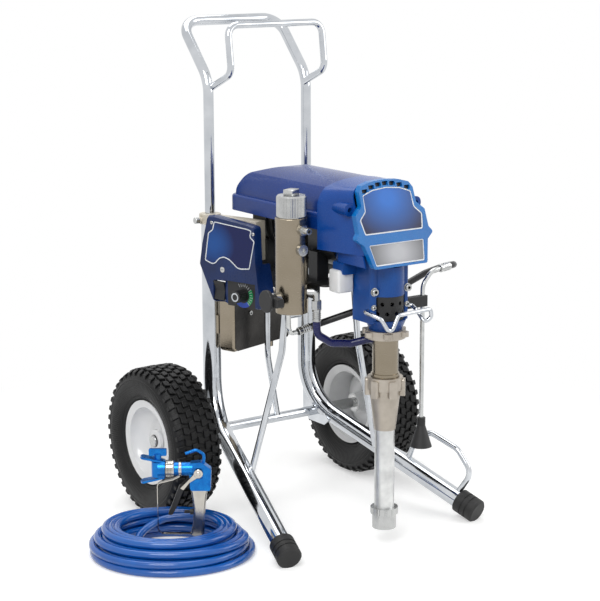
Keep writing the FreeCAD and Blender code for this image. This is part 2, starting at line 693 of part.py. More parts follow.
def drive_housing():
    """The cast housing: gear case, crank bearing, crosshead barrel with its window, and the pump's neck."""
    front_y = PUMP_Y - 16
    rear_y = MOTOR_FRONT_Y - FACE_GAP
    split_y = LAY_Y - 2.0
    crank_wall_y = CRANK_FACE_Y + 3.0
    lay = second_axis()
    top_z = CRANK_Z + 56
    gear_case = block(-62, lay.x + 42, split_y, rear_y, CRANK_Z - 62, top_z)
    crank_case = block(-62, lay.x + 22, crank_wall_y, split_y, CRANK_Z - 62, top_z)
    case = soften(gear_case, 18, lambda e: along(e, Y_AXIS))
    case = case.fuse(soften(crank_case, 14, lambda e: along(e, Y_AXIS)))
    column = block(-HOUSING_HALF_W, HOUSING_HALF_W, front_y, PUMP_Y + 52, HOUSING_LOW_Z + 18, CRANK_Z - 30)
    column = soften(column, 8, lambda e: along(e, Z_AXIS))
    barrel = rod(CROSSHEAD_R, Vector(0, PUMP_Y, HOUSING_LOW_Z + 10), Vector(0, PUMP_Y, BARREL_TOP_Z))
    flare = Part.makeCone(NECK_R, HOUSING_HALF_W - 6, 22, Vector(0, PUMP_Y, HOUSING_LOW_Z), Z_AXIS)
    body = case.fuse([column, barrel, flare])
    for side in (-1, 1):
        arm = block(-17, 17, MOTOR_FRONT_Y - 50, MOTOR_FRONT_Y - 16, CRANK_Z - 72, CHIN_LOW_Z)
        arm.translate(Vector(side * 64, 0, 0))
        body = body.fuse(soften(arm, 5, lambda e: along(e, Y_AXIS)))
    bore = rod(CROSSHEAD_BORE, Vector(0, PUMP_Y, HOUSING_LOW_Z - 1), Vector(0, PUMP_Y, CRANK_Z))
    train = rod(40, Vector(0, crank_wall_y + 12, CRANK_Z), Vector(0, rear_y + 1, CRANK_Z))
    lay_room = rod(39.5, Vector(lay.x, LAY_Y, lay.z), Vector(lay.x, rear_y + 1, lay.z))
    pinion_room = rod(16, Vector(lay.x, crank_wall_y + 10, lay.z), Vector(lay.x, rear_y, lay.z))
    lay_bore = rod(LAY_PIN_R + RUN_CLEAR, Vector(lay.x, crank_wall_y + 3, lay.z), Vector(lay.x, rear_y, lay.z))
    crank_bore = rod(CRANK_BOSS_R + RUN_CLEAR, Vector(0, crank_wall_y - 1, CRANK_Z), Vector(0, rear_y, CRANK_Z))
    mouth = rod(CRANK_BOSS_R + STROKE / 2, Vector(0, PUMP_Y - 1, CRANK_Z), Vector(0, crank_wall_y, CRANK_Z))
    window = block(-WINDOW_HALF_W, WINDOW_HALF_W, PUMP_Y - 60, PUMP_Y - 2, WINDOW_LOW_Z, WINDOW_LOW_Z + WINDOW_H)
    window = soften(window, WINDOW_CORNER_R, lambda e: along(e, Y_AXIS))
    for hollow in (bore, train, lay_room, pinion_room, lay_bore, crank_bore, mouth, window):
        body = body.cut(hollow)
    return body


def bezel_y(z):
    """Where the leaning front plane lies at a height."""
    return BEZEL_TOP_Y + BEZEL_T - math.tan(math.radians(BEZEL_LEAN)) * (SHROUD_TOP_Z - z)


def hood_section(half_w, low_z, top_z, shoulder_z, place):
    """The hood outline on any surface: place(x, z) gives the point."""
    hip_x, hip_z = half_w * 0.8, top_z - (top_z - shoulder_z) * 0.26
    turn_x, turn_z = half_w * 0.94, shoulder_z + (hip_z - shoulder_z) * 0.62
    points = [place(half_w, low_z), place(half_w, shoulder_z), place(turn_x, turn_z), place(hip_x, hip_z),
              place(0, top_z), place(-hip_x, hip_z), place(-turn_x, turn_z), place(-half_w, shoulder_z),
              place(-half_w, low_z)]
    edges = [Part.LineSegment(points[8], points[0]).toShape(), Part.LineSegment(points[0], points[1]).toShape(),
             Part.Arc(points[1], points[2], points[3]).toShape(),
             Part.Arc(points[3], points[4], points[5]).toShape(),
             Part.Arc(points[5], points[6], points[7]).toShape(),
             Part.LineSegment(points[7], points[8]).toShape()]
    return Part.Wire(edges)


def cover_volume(inset, low_z, past):
    def at_seam(x, z):
        return Vector(x, SEAM_Y + past, z)

    def at_front(x, z):
        return Vector(x, bezel_y(z) - past, z)
    back = hood_section(COVER_W / 2 - inset, low_z, SHROUD_TOP_Z - inset, SHROUD_TOP_Z - 56, at_seam)
    front = hood_section(COVER_FRONT_W / 2 - inset, low_z, SHROUD_TOP_Z - 1 - inset, SHROUD_TOP_Z - 30, at_front)
    return Part.makeLoft([back, front], True, True)


def front_cover():
    """The hood over the gear case, between the motor shroud and the bezel, with its screw ears and chin."""
    outside = cover_volume(0, COVER_LOW_Z, 0)
    ears = []
    for side in (-1, 1):
        z = 703
        at = Vector(side * 83, bezel_y(z) + 6, z)
        ears.append(rod(13, at, at + Vector(-side * 4, 48, 0)).cut(rod(5, at - Y_AXIS, at + Y_AXIS * 14)))
    chin_w = COVER_FRONT_W / 2 + 4
    chin = block(-chin_w, chin_w, bezel_y(CHIN_LOW_Z), SEAM_Y - 30, CHIN_LOW_Z, COVER_LOW_Z)
    chin = soften(chin, 10, lambda e: along(e, Z_AXIS) and e.CenterOfMass.y > SEAM_Y - 31)
    front_cut = block(-200, 200, -300, 0, -100, 300)
    front_cut.Placement = Placement(Vector(0, bezel_y(CHIN_LOW_Z), CHIN_LOW_Z), Rotation(X_AXIS, -BEZEL_LEAN))
    shell = outside.fuse(ears + [chin.cut(front_cut)])
    shell = shell.cut(cover_volume(COVER_WALL, COVER_LOW_Z - 1, 1))
    hollow = block(-chin_w + 3, chin_w - 3, bezel_y(CHIN_LOW_Z) - 5, SEAM_Y - 29, CHIN_LOW_Z - 1, COVER_LOW_Z + 1)
    return shell.cut(hollow)


def bezel_outline():
    half = [(0, 757.5), (36, 755), (59, 749), (67, 738), (68, 709), (86, 694), (87, 660), (96, 649),
            (79, 636), (66, 591)]
    return half + [(-x, z) for x, z in reversed(half[1:])]


def shield_outline():
    half = [(0, 743), (34, 740), (60, 731), (62, 701), (79, 685), (72, 656)]
    return half + [(-x, z) for x, z in reversed(half[1:])]


def on_bezel(x, z, out):
    return Vector(x, bezel_y(z) - out, z)


def cover_bezel():
    """The raised front frame with two shallow plate recesses and a row of cooling slots."""
    body = plate([on_bezel(x, z, FACE_GAP) for x, z in bezel_outline()], 5.0, Vector(0, -BEZEL_T, 0))
    shallow = BEZEL_T + FACE_GAP - 1.5
    strip = [(-68, 637), (68, 637), (60, 596), (-60, 596)]
    for outline in (shield_outline(), strip):
        body = body.cut(plate([on_bezel(x, z, shallow) for x, z in outline], 3.0, Vector(0, -5, 0)))
    for k in range(7):
        x = (k - 3) * 17.5
        z = 750.5 - 0.0042 * x * x
        corners = [(x - 7, z - 4.5), (x + 7, z - 4.5), (x + 7, z + 3.5), (x - 7, z + 3.5)]
        slot = plate([on_bezel(u, v, BEZEL_T - 8) for u, v in corners], 1.5, Vector(0, -BEZEL_T, 0))
        body = body.cut(slot)
    return body


def motor_base():
    """The black pressed tray that carries the motor between the rails."""
    half = 92.0
    tray = block(-half, half, MOTOR_FRONT_Y - 2, RAIL_Y - RAIL_R - 6, BASE_Z - BASE_T, BASE_Z)
    tray = soften(tray, 14, lambda e: along(e, Z_AXIS))
    lips = [block(side * half - (BASE_T if side > 0 else 0), side * half + (0 if side > 0 else BASE_T),
                  MOTOR_FRONT_Y + 20, RAIL_Y - RAIL_R - 30, BASE_Z - 34, BASE_Z) for side in (-1, 1)]
    arms = []
    for side in (-1, 1):
        x = side * RAIL_X
        arm = block(min(side * 80, x), max(side * 80, x), RAIL_Y - RAIL_R - 14, RAIL_Y + 4, BASE_Z - 30, BASE_Z)
        arms.append(arm.cut(rail_envelope(side)))
    window = block(-52, 52, MOTOR_FRONT_Y + 60, MOTOR_REAR_Y - 90, BASE_Z - 40, BASE_Z + 1)
    return tray.fuse(lips + arms).cut(window)


# ---------------------------------------------------------------- pump
def pump_axis(z):
    return Vector(0, PUMP_Y, z)


def rod_top_z():
    return HOUSING_LOW_Z + 60


def connecting_rod():
    """The forged rod: a big eye opposite the crank pin and a socket on the pump rod."""
    eye_z = CRANK_Z + STROKE / 2
    back, front = Vector(0, PUMP_Y + ROD_EYE_BACK, eye_z), Vector(0, PUMP_Y + ROD_EYE_FRONT, eye_z)
    eye = rod(17, back, front)
    shank = block(-9, 9, front.y, PUMP_Y + 9, rod_top_z() + 16, eye_z - 14)
    foot = rod(17, pump_axis(rod_top_z() - 8), pump_axis(rod_top_z() + 18))
    seat = rod(ROD_R, pump_axis(rod_top_z() - 9), pump_axis(rod_top_z() + 8))
    hole = rod(CRANK_PIN_R + 0.5, back + Y_AXIS, front - Y_AXIS)
    return eye.fuse([shank, foot]).cut(hole).cut(seat)


def pump_rod():
    """The displacement rod with the piston on its lower end."""
    low = PUMP_LOW_Z + 34
    shaft = rod(ROD_R, pump_axis(low), pump_axis(rod_top_z() + 8))
    piston = rod(PUMP_BORE - 0.1, pump_axis(low - 14), pump_axis(low + 8))
    for z in (low - 8, low - 1):
        piston = piston.cut(ring(PUMP_BORE + 1, PUMP_BORE - 2, pump_axis(z), pump_axis(z + 2.5)))
    return shaft.fuse(piston)


def rod_cover():
    """The perforated guard clipped into the housing's window in front of the rod."""
    low, high = WINDOW_LOW_Z + FACE_GAP, WINDOW_LOW_Z + WINDOW_H - FACE_GAP
    guard = ring(CROSSHEAD_R - 1, CROSSHEAD_R - 4, pump_axis(low), pump_axis(high))
    side = WINDOW_HALF_W - FACE_GAP
    opening = block(-side, side, PUMP_Y - 60, PUMP_Y - 2 - FACE_GAP, low, high)
    guard = guard.common(soften(opening, WINDOW_CORNER_R, lambda e: along(e, Y_AXIS)))
    for row, share in enumerate((0.3, 0.7)):
        for k in range(5 - row):
            angle = math.radians(-90 + (k - 2 + row * 0.5) * 32)
            out = Vector(math.cos(angle), math.sin(angle), 0)
            start = pump_axis(low + (high - low) * share) + out * 25
            guard = guard.cut(rod(4.2, start, start + out * 20))
    return guard


def jam_nut():
    """The lobed nut that locks the pump into the housing."""
    low, high = HOUSING_LOW_Z - NUT_H, HOUSING_LOW_Z
    body = rod(NUT_R - 5, pump_axis(low), pump_axis(high))
    lobes = []
    for k in range(NUT_LOBES):
        angle = 2 * math.pi * k / NUT_LOBES
        at = pump_axis(low + 5) + Vector(math.cos(angle), math.sin(angle), 0) * (NUT_R - 6)
        lobes.append(rod(10, at, at + Z_AXIS * (NUT_H - 7)))
    body = body.fuse(lobes)
    return body.cut(rod(PUMP_R, pump_axis(low - 1), pump_axis(high + 1)))


def pump_cylinder():
    """The plated cylinder that screws into the drive housing, bored for the piston."""
    high = HOUSING_LOW_Z + 20
    outer = rod(PUMP_R, pump_axis(PUMP_LOW_Z - 12), pump_axis(high))
    bore = rod(PUMP_BORE, pump_axis(PUMP_LOW_Z - 13), pump_axis(high - 26))
    throat = rod(ROD_R + SLIDE_CLEAR, pump_axis(high - 30), pump_axis(high + 1))
    packing = rod(16, pump_axis(high - 8), pump_axis(high + 1))
    step = ring(PUMP_R + 2.5, PUMP_R - 1, pump_axis(PUMP_LOW_Z + 6), pump_axis(PUMP_LOW_Z + 12))
    return outer.fuse(step).cut(bore).cut(throat).cut(packing)


def intake_housing():
    """The cast intake: spanner ears and a notch at the top, tapering to the suction tube."""
    top = PUMP_LOW_Z + 5
    collar_low = top - 26
    neck = rod(INTAKE_TOP_R, pump_axis(collar_low), pump_axis(top))
    taper = Part.makeCone(SUCTION_R + 1.5, INTAKE_TOP_R - 4, collar_low - INTAKE_LOW_Z, pump_axis(INTAKE_LOW_Z), Z_AXIS)
    ears = []
    for k in range(6):
        angle = math.radians(k * 60 + 18)
        ear = block(INTAKE_TOP_R - 8, INTAKE_TOP_R + 5, -9, 9, collar_low - 14, top - 4)
        ear = soften(ear, 4, lambda e: along(e, Z_AXIS) or along(e, X_AXIS))
        ear.rotate(Vector(0, 0, 0), Z_AXIS, math.degrees(angle))
        ear.translate(Vector(0, PUMP_Y, 0))
        ears.append(ear)
    body = neck.fuse([taper] + ears)
    seat = rod(PUMP_R, pump_axis(PUMP_LOW_Z - 12), pump_axis(top + 1))
    cage = rod(17, pump_axis(PUMP_LOW_Z - 46), pump_axis(PUMP_LOW_Z - 11))
    throat = rod(9, pump_axis(INTAKE_LOW_Z - 1), pump_axis(PUMP_LOW_Z - 30))
    pipe = rod(SUCTION_R, pump_axis(INTAKE_LOW_Z - 1), pump_axis(INTAKE_LOW_Z + 14))
    return body.cut(seat).cut(cage).cut(throat).cut(pipe)


def inlet_ball():
    return Part.makeSphere(12.5, pump_axis(PUMP_LOW_Z - 46 + 8.7))


def suction_tube():
    low = STRAINER_LOW_Z + BASKET_H + 6
    return ring(SUCTION_R, SUCTION_BORE, pump_axis(low), pump_axis(INTAKE_LOW_Z + 14))


def strainer():
    """The screw-on inlet strainer: a ribbed ring over a perforated basket."""
    low, top = STRAINER_LOW_Z, STRAINER_LOW_Z + BASKET_H
    ring_low, ring_high = top - 2, top + 12
    head = rod(STRAINER_R, pump_axis(ring_low), pump_axis(ring_high))
    for k in range(12):
        angle = 2 * math.pi * k / 12
        at = pump_axis(ring_low - 1) + Vector(math.cos(angle), math.sin(angle), 0) * (STRAINER_R + 1.2)
        head = head.cut(rod(2.6, at, at + Z_AXIS * 20))
    basket = rod(BASKET_R, pump_axis(low), pump_axis(ring_low + 1))
    body = head.fuse(basket)
    body = body.cut(rod(BASKET_R - 2, pump_axis(low + 2), pump_axis(top + 6)))
    return body.cut(rod(SUCTION_R, pump_axis(top + 6), pump_axis(ring_high + 1)))


def pail_hook():
    """The bent wire under the drive that a pail's bail hangs from."""
    r = 4.3
    front = PUMP_Y - 50
    eye_z = HOUSING_LOW_Z + 44
    points = [Vector(-HOUSING_HALF_W + 4, PUMP_Y - 4, eye_z), Vector(-HOUSING_HALF_W - 12, PUMP_Y - 10, eye_z),
              Vector(-HOUSING_HALF_W - 11, front + 12, eye_z - 3), Vector(-50, front, eye_z - 9),
              Vector(-28, front - 3, eye_z - 43), Vector(-8, front - 2, eye_z - 6),
              Vector(76, front, eye_z - 4), Vector(80, front + 2, eye_z - 22), Vector(66, front + 6, eye_z - 32),
              Vector(60, front + 26, eye_z - 8), Vector(HOUSING_HALF_W + 10, PUMP_Y - 10, eye_z),
              Vector(HOUSING_HALF_W - 4, PUMP_Y - 4, eye_z)]
    wire = bent_rod(points, r, 9)
    return wire.cut(block(-HOUSING_HALF_W, HOUSING_HALF_W, PUMP_Y - 15.9, PUMP_Y + 20, HOUSING_LOW_Z, CRANK_Z))


# ---------------------------------------------------------------- filter, fittings, hoses
def filter_axis(z):
    return Vector(FILTER_X, FILTER_Y, z)


def filter_body():
    """The manifold: a turned bowl, bored from above for the element, with a foot to the base."""
    body = rod(FILTER_R, filter_axis(FILTER_LOW_Z), filter_axis(FILTER_TOP_Z))
    body = soften(body, 2.5, lambda e: isinstance(e.Curve, Part.Circle))
    bracket = block(FILTER_X, -92 - FACE_GAP, FILTER_Y + 4, FILTER_Y + 28, BASE_Z - 30, BASE_Z - 4)
    body = body.fuse(bracket)
    return body.cut(rod(FILTER_BORE, filter_axis(FILTER_LOW_Z + 16), filter_axis(FILTER_TOP_Z + 1)))


def filter_cap():
    """The knurled screw cap with a square drive on top."""
    low = FILTER_TOP_Z + FACE_GAP
    high = low + FILTER_CAP_H
    cap = rod(FILTER_CAP_R, filter_axis(low), filter_axis(high))
    cap = soften(cap, 2.0, lambda e: e.CenterOfMass.z > high - 1)
    head = block(FILTER_X - 19, FILTER_X + 19, FILTER_Y - 11, FILTER_Y + 11, high - 1, high + 12)
    head = soften(head, 3.0, lambda e: along(e, Z_AXIS) or e.CenterOfMass.z > high + 11)
    head.rotate(filter_axis(0), Z_AXIS, 25)
    plug = rod(FILTER_BORE - 0.05, filter_axis(FILTER_TOP_Z - 14), filter_axis(low + 1))
    return cap.fuse([head, plug])


def filter_element():
    """The pleated mesh sleeve on its centre support."""
    low, high = FILTER_LOW_Z + 16, FILTER_TOP_Z - 15
    sleeve = ring(14, 9, filter_axis(low), filter_axis(high))
    caps = [ring(17, 6, filter_axis(low), filter_axis(low + 6)),
            ring(17, 6, filter_axis(high - 6), filter_axis(high))]
    return sleeve.fuse(caps)


def hose_outlet_tip():
    return Vector(FILTER_X, FILTER_Y - FILTER_R - 28, OUTLET_Z)


def fluid_fittings():
    """Hose outlet, spare-port plug, prime-valve cartridge, pump-hose elbow and tube ferrules."""
    pieces = []
    face_y = FILTER_Y - FILTER_R + 1.0
    seat = Vector(FILTER_X, face_y, OUTLET_Z)
    nipple = hexagon(19, seat, seat - Y_AXIS * 12).fuse(rod(6.6, seat, hose_outlet_tip()))
    nipple = nipple.cut(rod(3.5, seat - Y_AXIS * 10, hose_outlet_tip() - Y_AXIS))
    seat = Vector(FILTER_X, face_y, PLUG_Z)
    plug = rod(11.5, seat, seat - Y_AXIS * 9).cut(hexagon(9, seat - Y_AXIS * 5, seat - Y_AXIS * 10))
    seat = Vector(FILTER_X - FILTER_R + 1, FILTER_Y, VALVE_Z)
    valve = rod(15, seat, seat - X_AXIS * 11).fuse(rod(5, seat, seat - X_AXIS * 22))
    for shape in (nipple, plug, valve):
        pieces.append(shape.cut(rod(FILTER_R, filter_axis(FILTER_LOW_Z), filter_axis(FILTER_TOP_Z))))
    seat = elbow_seat()
    knee = Vector(elbow_foot().x, elbow_foot().y, seat.z)
    foot = knee + Vector(0, 0, -18)
    elbow = bent_rod([seat, knee, foot], 7.2, 8.6).fuse(hexagon(19, foot, elbow_foot()))
    pieces.append(elbow.cut(rod(FILTER_R, filter_axis(FILTER_LOW_Z), filter_axis(FILTER_TOP_Z))))
    return Part.makeCompound(pieces)


def elbow_seat():
    across = (FILTER_R - 1) * math.sqrt(0.5)
    return Vector(FILTER_X + across, FILTER_Y - across, VALVE_Z + 14)


def elbow_foot():
    return elbow_seat() + Vector(13, -13, -18 - 18)


def valve_axis(out):
    return Vector(FILTER_X - FILTER_R - out, FILTER_Y, VALVE_Z)


def prime_handle():
    """The black prime and drain knob: a grip bar on a round disc."""
    near, far = 10.0 + FACE_GAP, 32.0
    hub = rod(12, valve_axis(near), valve_axis(far))
    disc = rod(23, valve_axis(far - 9), valve_axis(far))
    disc = soften(disc, 2.5, lambda e: isinstance(e.Curve, Part.Circle))
    wing = block(FILTER_X - FILTER_R - far + 6, FILTER_X - FILTER_R - near - 1, FILTER_Y - 38, FILTER_Y + 16,
                 VALVE_Z - 9, VALVE_Z + 9)
    wing = soften(wing, 5, lambda e: along(e, X_AXIS))
    body = hub.fuse([disc, wing])
    return body.cut(rod(5 + RUN_CLEAR, valve_axis(0), valve_axis(23)))


def pump_hose():
    """The short high-pressure hose from the pump's outlet to the filter."""
    knee = elbow_foot()
    points = [knee, knee - Z_AXIS * 24, Vector(knee.x + 3, knee.y + 3, 438), Vector(-66, -344, 416),
              Vector(-30, -362, 414), Vector(0, -386, 424), Vector(0, PUMP_Y + PUMP_R, 424)]
    return bent_rod(points, PUMP_HOSE_R, 22)


def drain_tubes():
    """Two bent stainless tubes: the return pipe over the pail and the stub at the filter."""
    down = [Vector(140, PUMP_Y, 563), Vector(118, PUMP_Y, 560), Vector(DRAIN_X, PUMP_Y, 534),
            Vector(DRAIN_X, PUMP_Y, 246)]
    stub = [Vector(FILTER_X - 8, FILTER_Y, FILTER_LOW_Z), Vector(FILTER_X - 8, FILTER_Y, 452),
            Vector(FILTER_X + 2, FILTER_Y + 8, 437), stub_end()]
    return Part.makeCompound([bent_rod(down, DRAIN_TUBE_R, 30), bent_rod(stub, DRAIN_TUBE_R, 16)])


def stub_end():
    return Vector(FILTER_X + 24, FILTER_Y + 14, 436)


def drain_hose():
    """The black return hose that joins the two tubes behind the pump."""
    points = [Vector(140, PUMP_Y, 563), Vector(172, PUMP_Y + 2, 566), Vector(196, PUMP_Y + 20, 562),
              Vector(192, PUMP_Y + 50, 554), Vector(152, PUMP_Y + 64, 541), Vector(104, PUMP_Y + 68, 522),
              Vector(54, PUMP_Y + 74, 501), Vector(6, PUMP_Y + 86, 480), Vector(-42, PUMP_Y + 118, 460),
              Vector(-80, PUMP_Y + 143, 444), stub_end()]
    return bent_rod(points, DRAIN_HOSE_R, 30).cut(drain_tubes())


def drain_deflector():
    """The moulded bell on the return tube's end, and the clip that holds the tube to the hook."""
    top = Vector(DRAIN_X, PUMP_Y, 246)
    bell = Part.makeCone(23, 8, 48, top - Z_AXIS * 54, Z_AXIS).fuse(rod(9, top - Z_AXIS * 10, top + Z_AXIS * 8))
    bell = bell.cut(Part.makeCone(21, 4.8, 42, top - Z_AXIS * 54.5, Z_AXIS))
    bell = bell.cut(rod(DRAIN_TUBE_R, top - Z_AXIS * 20, top + Z_AXIS * 9))
    clip_z = HOUSING_LOW_Z + 46
    clip = block(HOUSING_HALF_W, DRAIN_X + 9, PUMP_Y - 8, PUMP_Y + 8, clip_z - 11, clip_z + 11)
    clip = soften(clip, 4, lambda e: along(e, Z_AXIS) and e.CenterOfMass.x > DRAIN_X)
    clip = clip.cut(rod(DRAIN_TUBE_R, Vector(DRAIN_X, PUMP_Y, clip_z - 20), Vector(DRAIN_X, PUMP_Y, clip_z + 20)))
    return Part.makeCompound([bell, clip.cut(pail_hook())])


# ---------------------------------------------------------------- control box
def box_place(shape):
    """Turn a shape from the box's own axes (x outward, y rearward) about the left rail."""
    shape.rotate(Vector(0, 0, 0), Z_AXIS, BOX_TURN)
    shape.translate(Vector(-RAIL_X, RAIL_Y, 0))
    return shape


def cover_face():
    return [(BOX_NEAR + 10, BOX_TOP_Z), (BOX_NEAR + 30, BOX_TOP_Z + 2), (BOX_FAR - 22, BOX_TOP_Z - 8),
            (BOX_FAR - 2, BOX_TOP_Z - 12), (BOX_FAR + 1, BOX_TOP_Z - 88), (BOX_FAR + 12, BOX_LOW_Z + 22),
            (BOX_FAR + 6, BOX_LOW_Z), (BOX_FAR - 82, BOX_LOW_Z + 2), (BOX_FAR - 88, BOX_LOW_Z + 6),
            (BOX_NEAR + 25, BOX_LOW_Z + 3), (BOX_NEAR - 14, BOX_TOP_Z - 106), (BOX_NEAR - 6, BOX_TOP_Z - 60)]


def cover_wire(out, flare, inset):
    """The cover's outline at one depth, its far edge moved outward by the flare."""
    face = shrink(cover_face(), inset)
    reach = BOX_FAR - BOX_NEAR
    return rounded_path([Vector(out, -(ahead + flare * max(0, (ahead - BOX_NEAR) / reach) ** 3), z)
                         for ahead, z in face], 7.0, closed=True)


def control_cover():
    """The moulded cover: outlined face, flared side, arch over the switch panel, open behind."""
    front, back = -BOX_OUT, -BOX_OUT + BOX_DEPTH
    body = Part.makeLoft([cover_wire(front, 0, 3.0), cover_wire(front + 5, 0, 0), cover_wire(back, BOX_FLARE, 0)],
                         True, True)
    hollow = Part.makeLoft([cover_wire(front + 6 + BOX_WALL, 0, 4.0), cover_wire(back + 5, BOX_FLARE, 4.0)], True, True)
    panel = block(front - 1, front + 6, -BOX_FAR + 2, -BOX_FAR + 86, BOX_LOW_Z - 5, BOX_LOW_Z + 54)
    slot = block(front - 1, front + 6, -BOX_FAR + 85, -BOX_NEAR - 30, BOX_LOW_Z + 6, BOX_LOW_Z + 52)
    behind_lip = block(front + BOX_LIP, back + 20, -BOX_FAR - 40, 40, BOX_TOP_Z - CASE_H - 8, BOX_TOP_Z + 30)
    rocker = block(front - 5, front + 20, *rocker_span(0.4), ROCKER_LOW_Z - 0.4, ROCKER_LOW_Z + ROCKER_H + 0.4)
    shaft = Part.makeCylinder(4 + RUN_CLEAR, 30, Vector(front - 5, -KNOB_AHEAD, KNOB_Z), X_AXIS)
    relief = rod(RAIL_R + 2, Vector(0, 0, BOX_LOW_Z - 20), Vector(0, 0, BOX_TOP_Z + 20))
    for cut_out in (panel, slot, hollow, behind_lip, rocker, shaft, relief):
        body = body.cut(cut_out)
    return box_place(body)


def rocker_span(clear):
    return -ROCKER_AHEAD - ROCKER_W / 2 - clear, -ROCKER_AHEAD + ROCKER_W / 2 + clear


def shrink(outline, by):
    mid_y = sum(p[0] for p in outline) / len(outline)
    mid_z = sum(p[1] for p in outline) / len(outline)
    far_y = max(abs(p[0] - mid_y) for p in outline)
    far_z = max(abs(p[1] - mid_z) for p in outline)
    return [(mid_y + (a - mid_y) * (1 - by / far_y), mid_z + (z - mid_z) * (1 - by / far_z))
            for a, z in outline]


def power_switch():
    """The rocker, a bent paddle whose ends are turned about its own pin."""
    low, high = ROCKER_LOW_Z, ROCKER_LOW_Z + ROCKER_H
    middle = (low + high) / 2
    y0, y1 = rocker_span(0)
    front = -BOX_OUT
    profile = [Vector(front + 13, y0, low + 5), Vector(front + 1, y0, low - 1), Vector(front + 5, y0, middle),
               Vector(front - 1, y0, high + 1), Vector(front + 13, y0, high - 5)]
    paddle = Part.Face(Part.makePolygon(profile + [profile[0]])).extrude(Vector(0, y1 - y0, 0))
    sweep_room = Part.makeCylinder(ROCKER_H / 2, y1 - y0, Vector(front + ROCKER_PIN_IN, y0, middle), Y_AXIS)
    return box_place(paddle.common(sweep_room))


def pressure_knob():
    """The round pressure knob with a flat chrome-faced cap and a shaft into the control."""
    start = Vector(-BOX_OUT + 6 - FACE_GAP, -KNOB_AHEAD, KNOB_Z)
    body = Part.makeCylinder(KNOB_R, KNOB_LEN, start, -X_AXIS)
    body = soften(body, 2.0, lambda e: e.CenterOfMass.x < start.x - KNOB_LEN + 1)
    for k in range(14):
        angle = 2 * math.pi * k / 14
        at = start + Vector(1, math.cos(angle) * (KNOB_R + 1), math.sin(angle) * (KNOB_R + 1))
        body = body.cut(Part.makeCylinder(2.0, KNOB_LEN - 5, at, -X_AXIS))
    shaft = Part.makeCylinder(4, 16, start, X_AXIS)
    return box_place(body.fuse(shaft))


def control_enclosure():
    """The pale sheet-metal case behind the cover's face, its top open to view, and its rail bracket."""
    out = -BOX_OUT + BOX_LIP + FACE_GAP
    low, top = BOX_TOP_Z - 4 - CASE_H, BOX_TOP_Z - 4
    case = block(out, out + CASE_D, -BOX_FAR + 12, -BOX_NEAR - 8, low, top)
    case = soften(case, 3, lambda e: along(e, Z_AXIS))
    inside = block(out + 2, out + CASE_D - 2, -BOX_FAR + 14, -BOX_NEAR - 10, low - 1, top - 2)
    bracket = block(-9, out + CASE_D, -BOX_NEAR - 9, -RAIL_R + 4, top - 66, top - 26)
    rail_room = rod(RAIL_R, Vector(0, 0, BOX_LOW_Z), Vector(0, 0, BOX_TOP_Z))
    bosses = [rod(5, Vector(out + 1, -ahead, top - 44), Vector(-BOX_OUT + 9, -ahead, top - 44))
              for ahead in (BOX_NEAR + 32, BOX_FAR - 40)]
    return box_place(case.cut(inside).fuse([bracket.cut(rail_room)] + bosses))


def board_enclosure():
    """The bronze-faced electronics case below, with its cable gland and rail bracket."""
    back = -RAIL_R - 5
    case = block(-BOARD_OUT, BOARD_DEPTH - BOARD_OUT, back - BOARD_T, back, BOARD_LOW_Z, BOX_LOW_Z - FACE_GAP)
    case = soften(case, 8, lambda e: along(e, Z_AXIS))
    case = soften(case, 10, lambda e: along(e, Y_AXIS) and e.CenterOfMass.z < BOARD_LOW_Z + 1)
    inside = block(3 - BOARD_OUT, BOARD_DEPTH - BOARD_OUT - 3, back - BOARD_T + 3, back - 3,
                   BOARD_LOW_Z + 3, BOX_LOW_Z - 4)
    gland = Part.makeCylinder(9, 16, Vector(140, back - BOARD_T / 2, BOARD_LOW_Z - 14), Z_AXIS)
    bracket = block(1 - BOARD_OUT, 9, back - 1, -RAIL_R + 4, BOX_LOW_Z - 80, BOX_LOW_Z - 40)
    bracket = box_place(bracket.cut(rod(RAIL_R, Vector(), Z_AXIS * BOX_LOW_Z)))
    tube_y = RAIL_Y - BRACE_R - 1
    behind = block(-RAIL_X, RAIL_X + 100, tube_y, tube_y + 200, BOARD_LOW_Z - 30, BOX_LOW_Z + 10)
    behind_inside = block(-RAIL_X, RAIL_X + 100, tube_y - 3, tube_y + 200, BOARD_LOW_Z - 30, BOX_LOW_Z + 10)
    shell = box_place(case.fuse(gland)).cut(behind).cut(box_place(inside).cut(behind_inside))
    return shell.fuse(bracket)


# ---------------------------------------------------------------- spray gun (x forward, origin at handle foot)
def gun_place(shape):
    shape.rotate(Vector(0, 0, 0), Z_AXIS, GUN_TURN)
    shape.translate(Vector(GUN_X, GUN_Y, GUN_Z))
    return shape


def gun_point(ahead, aside, up):
    turn = math.radians(GUN_TURN)
    return Vector(GUN_X + ahead * math.cos(turn) - aside * math.sin(turn),
                  GUN_Y + ahead * math.sin(turn) + aside * math.cos(turn), GUN_Z + up)


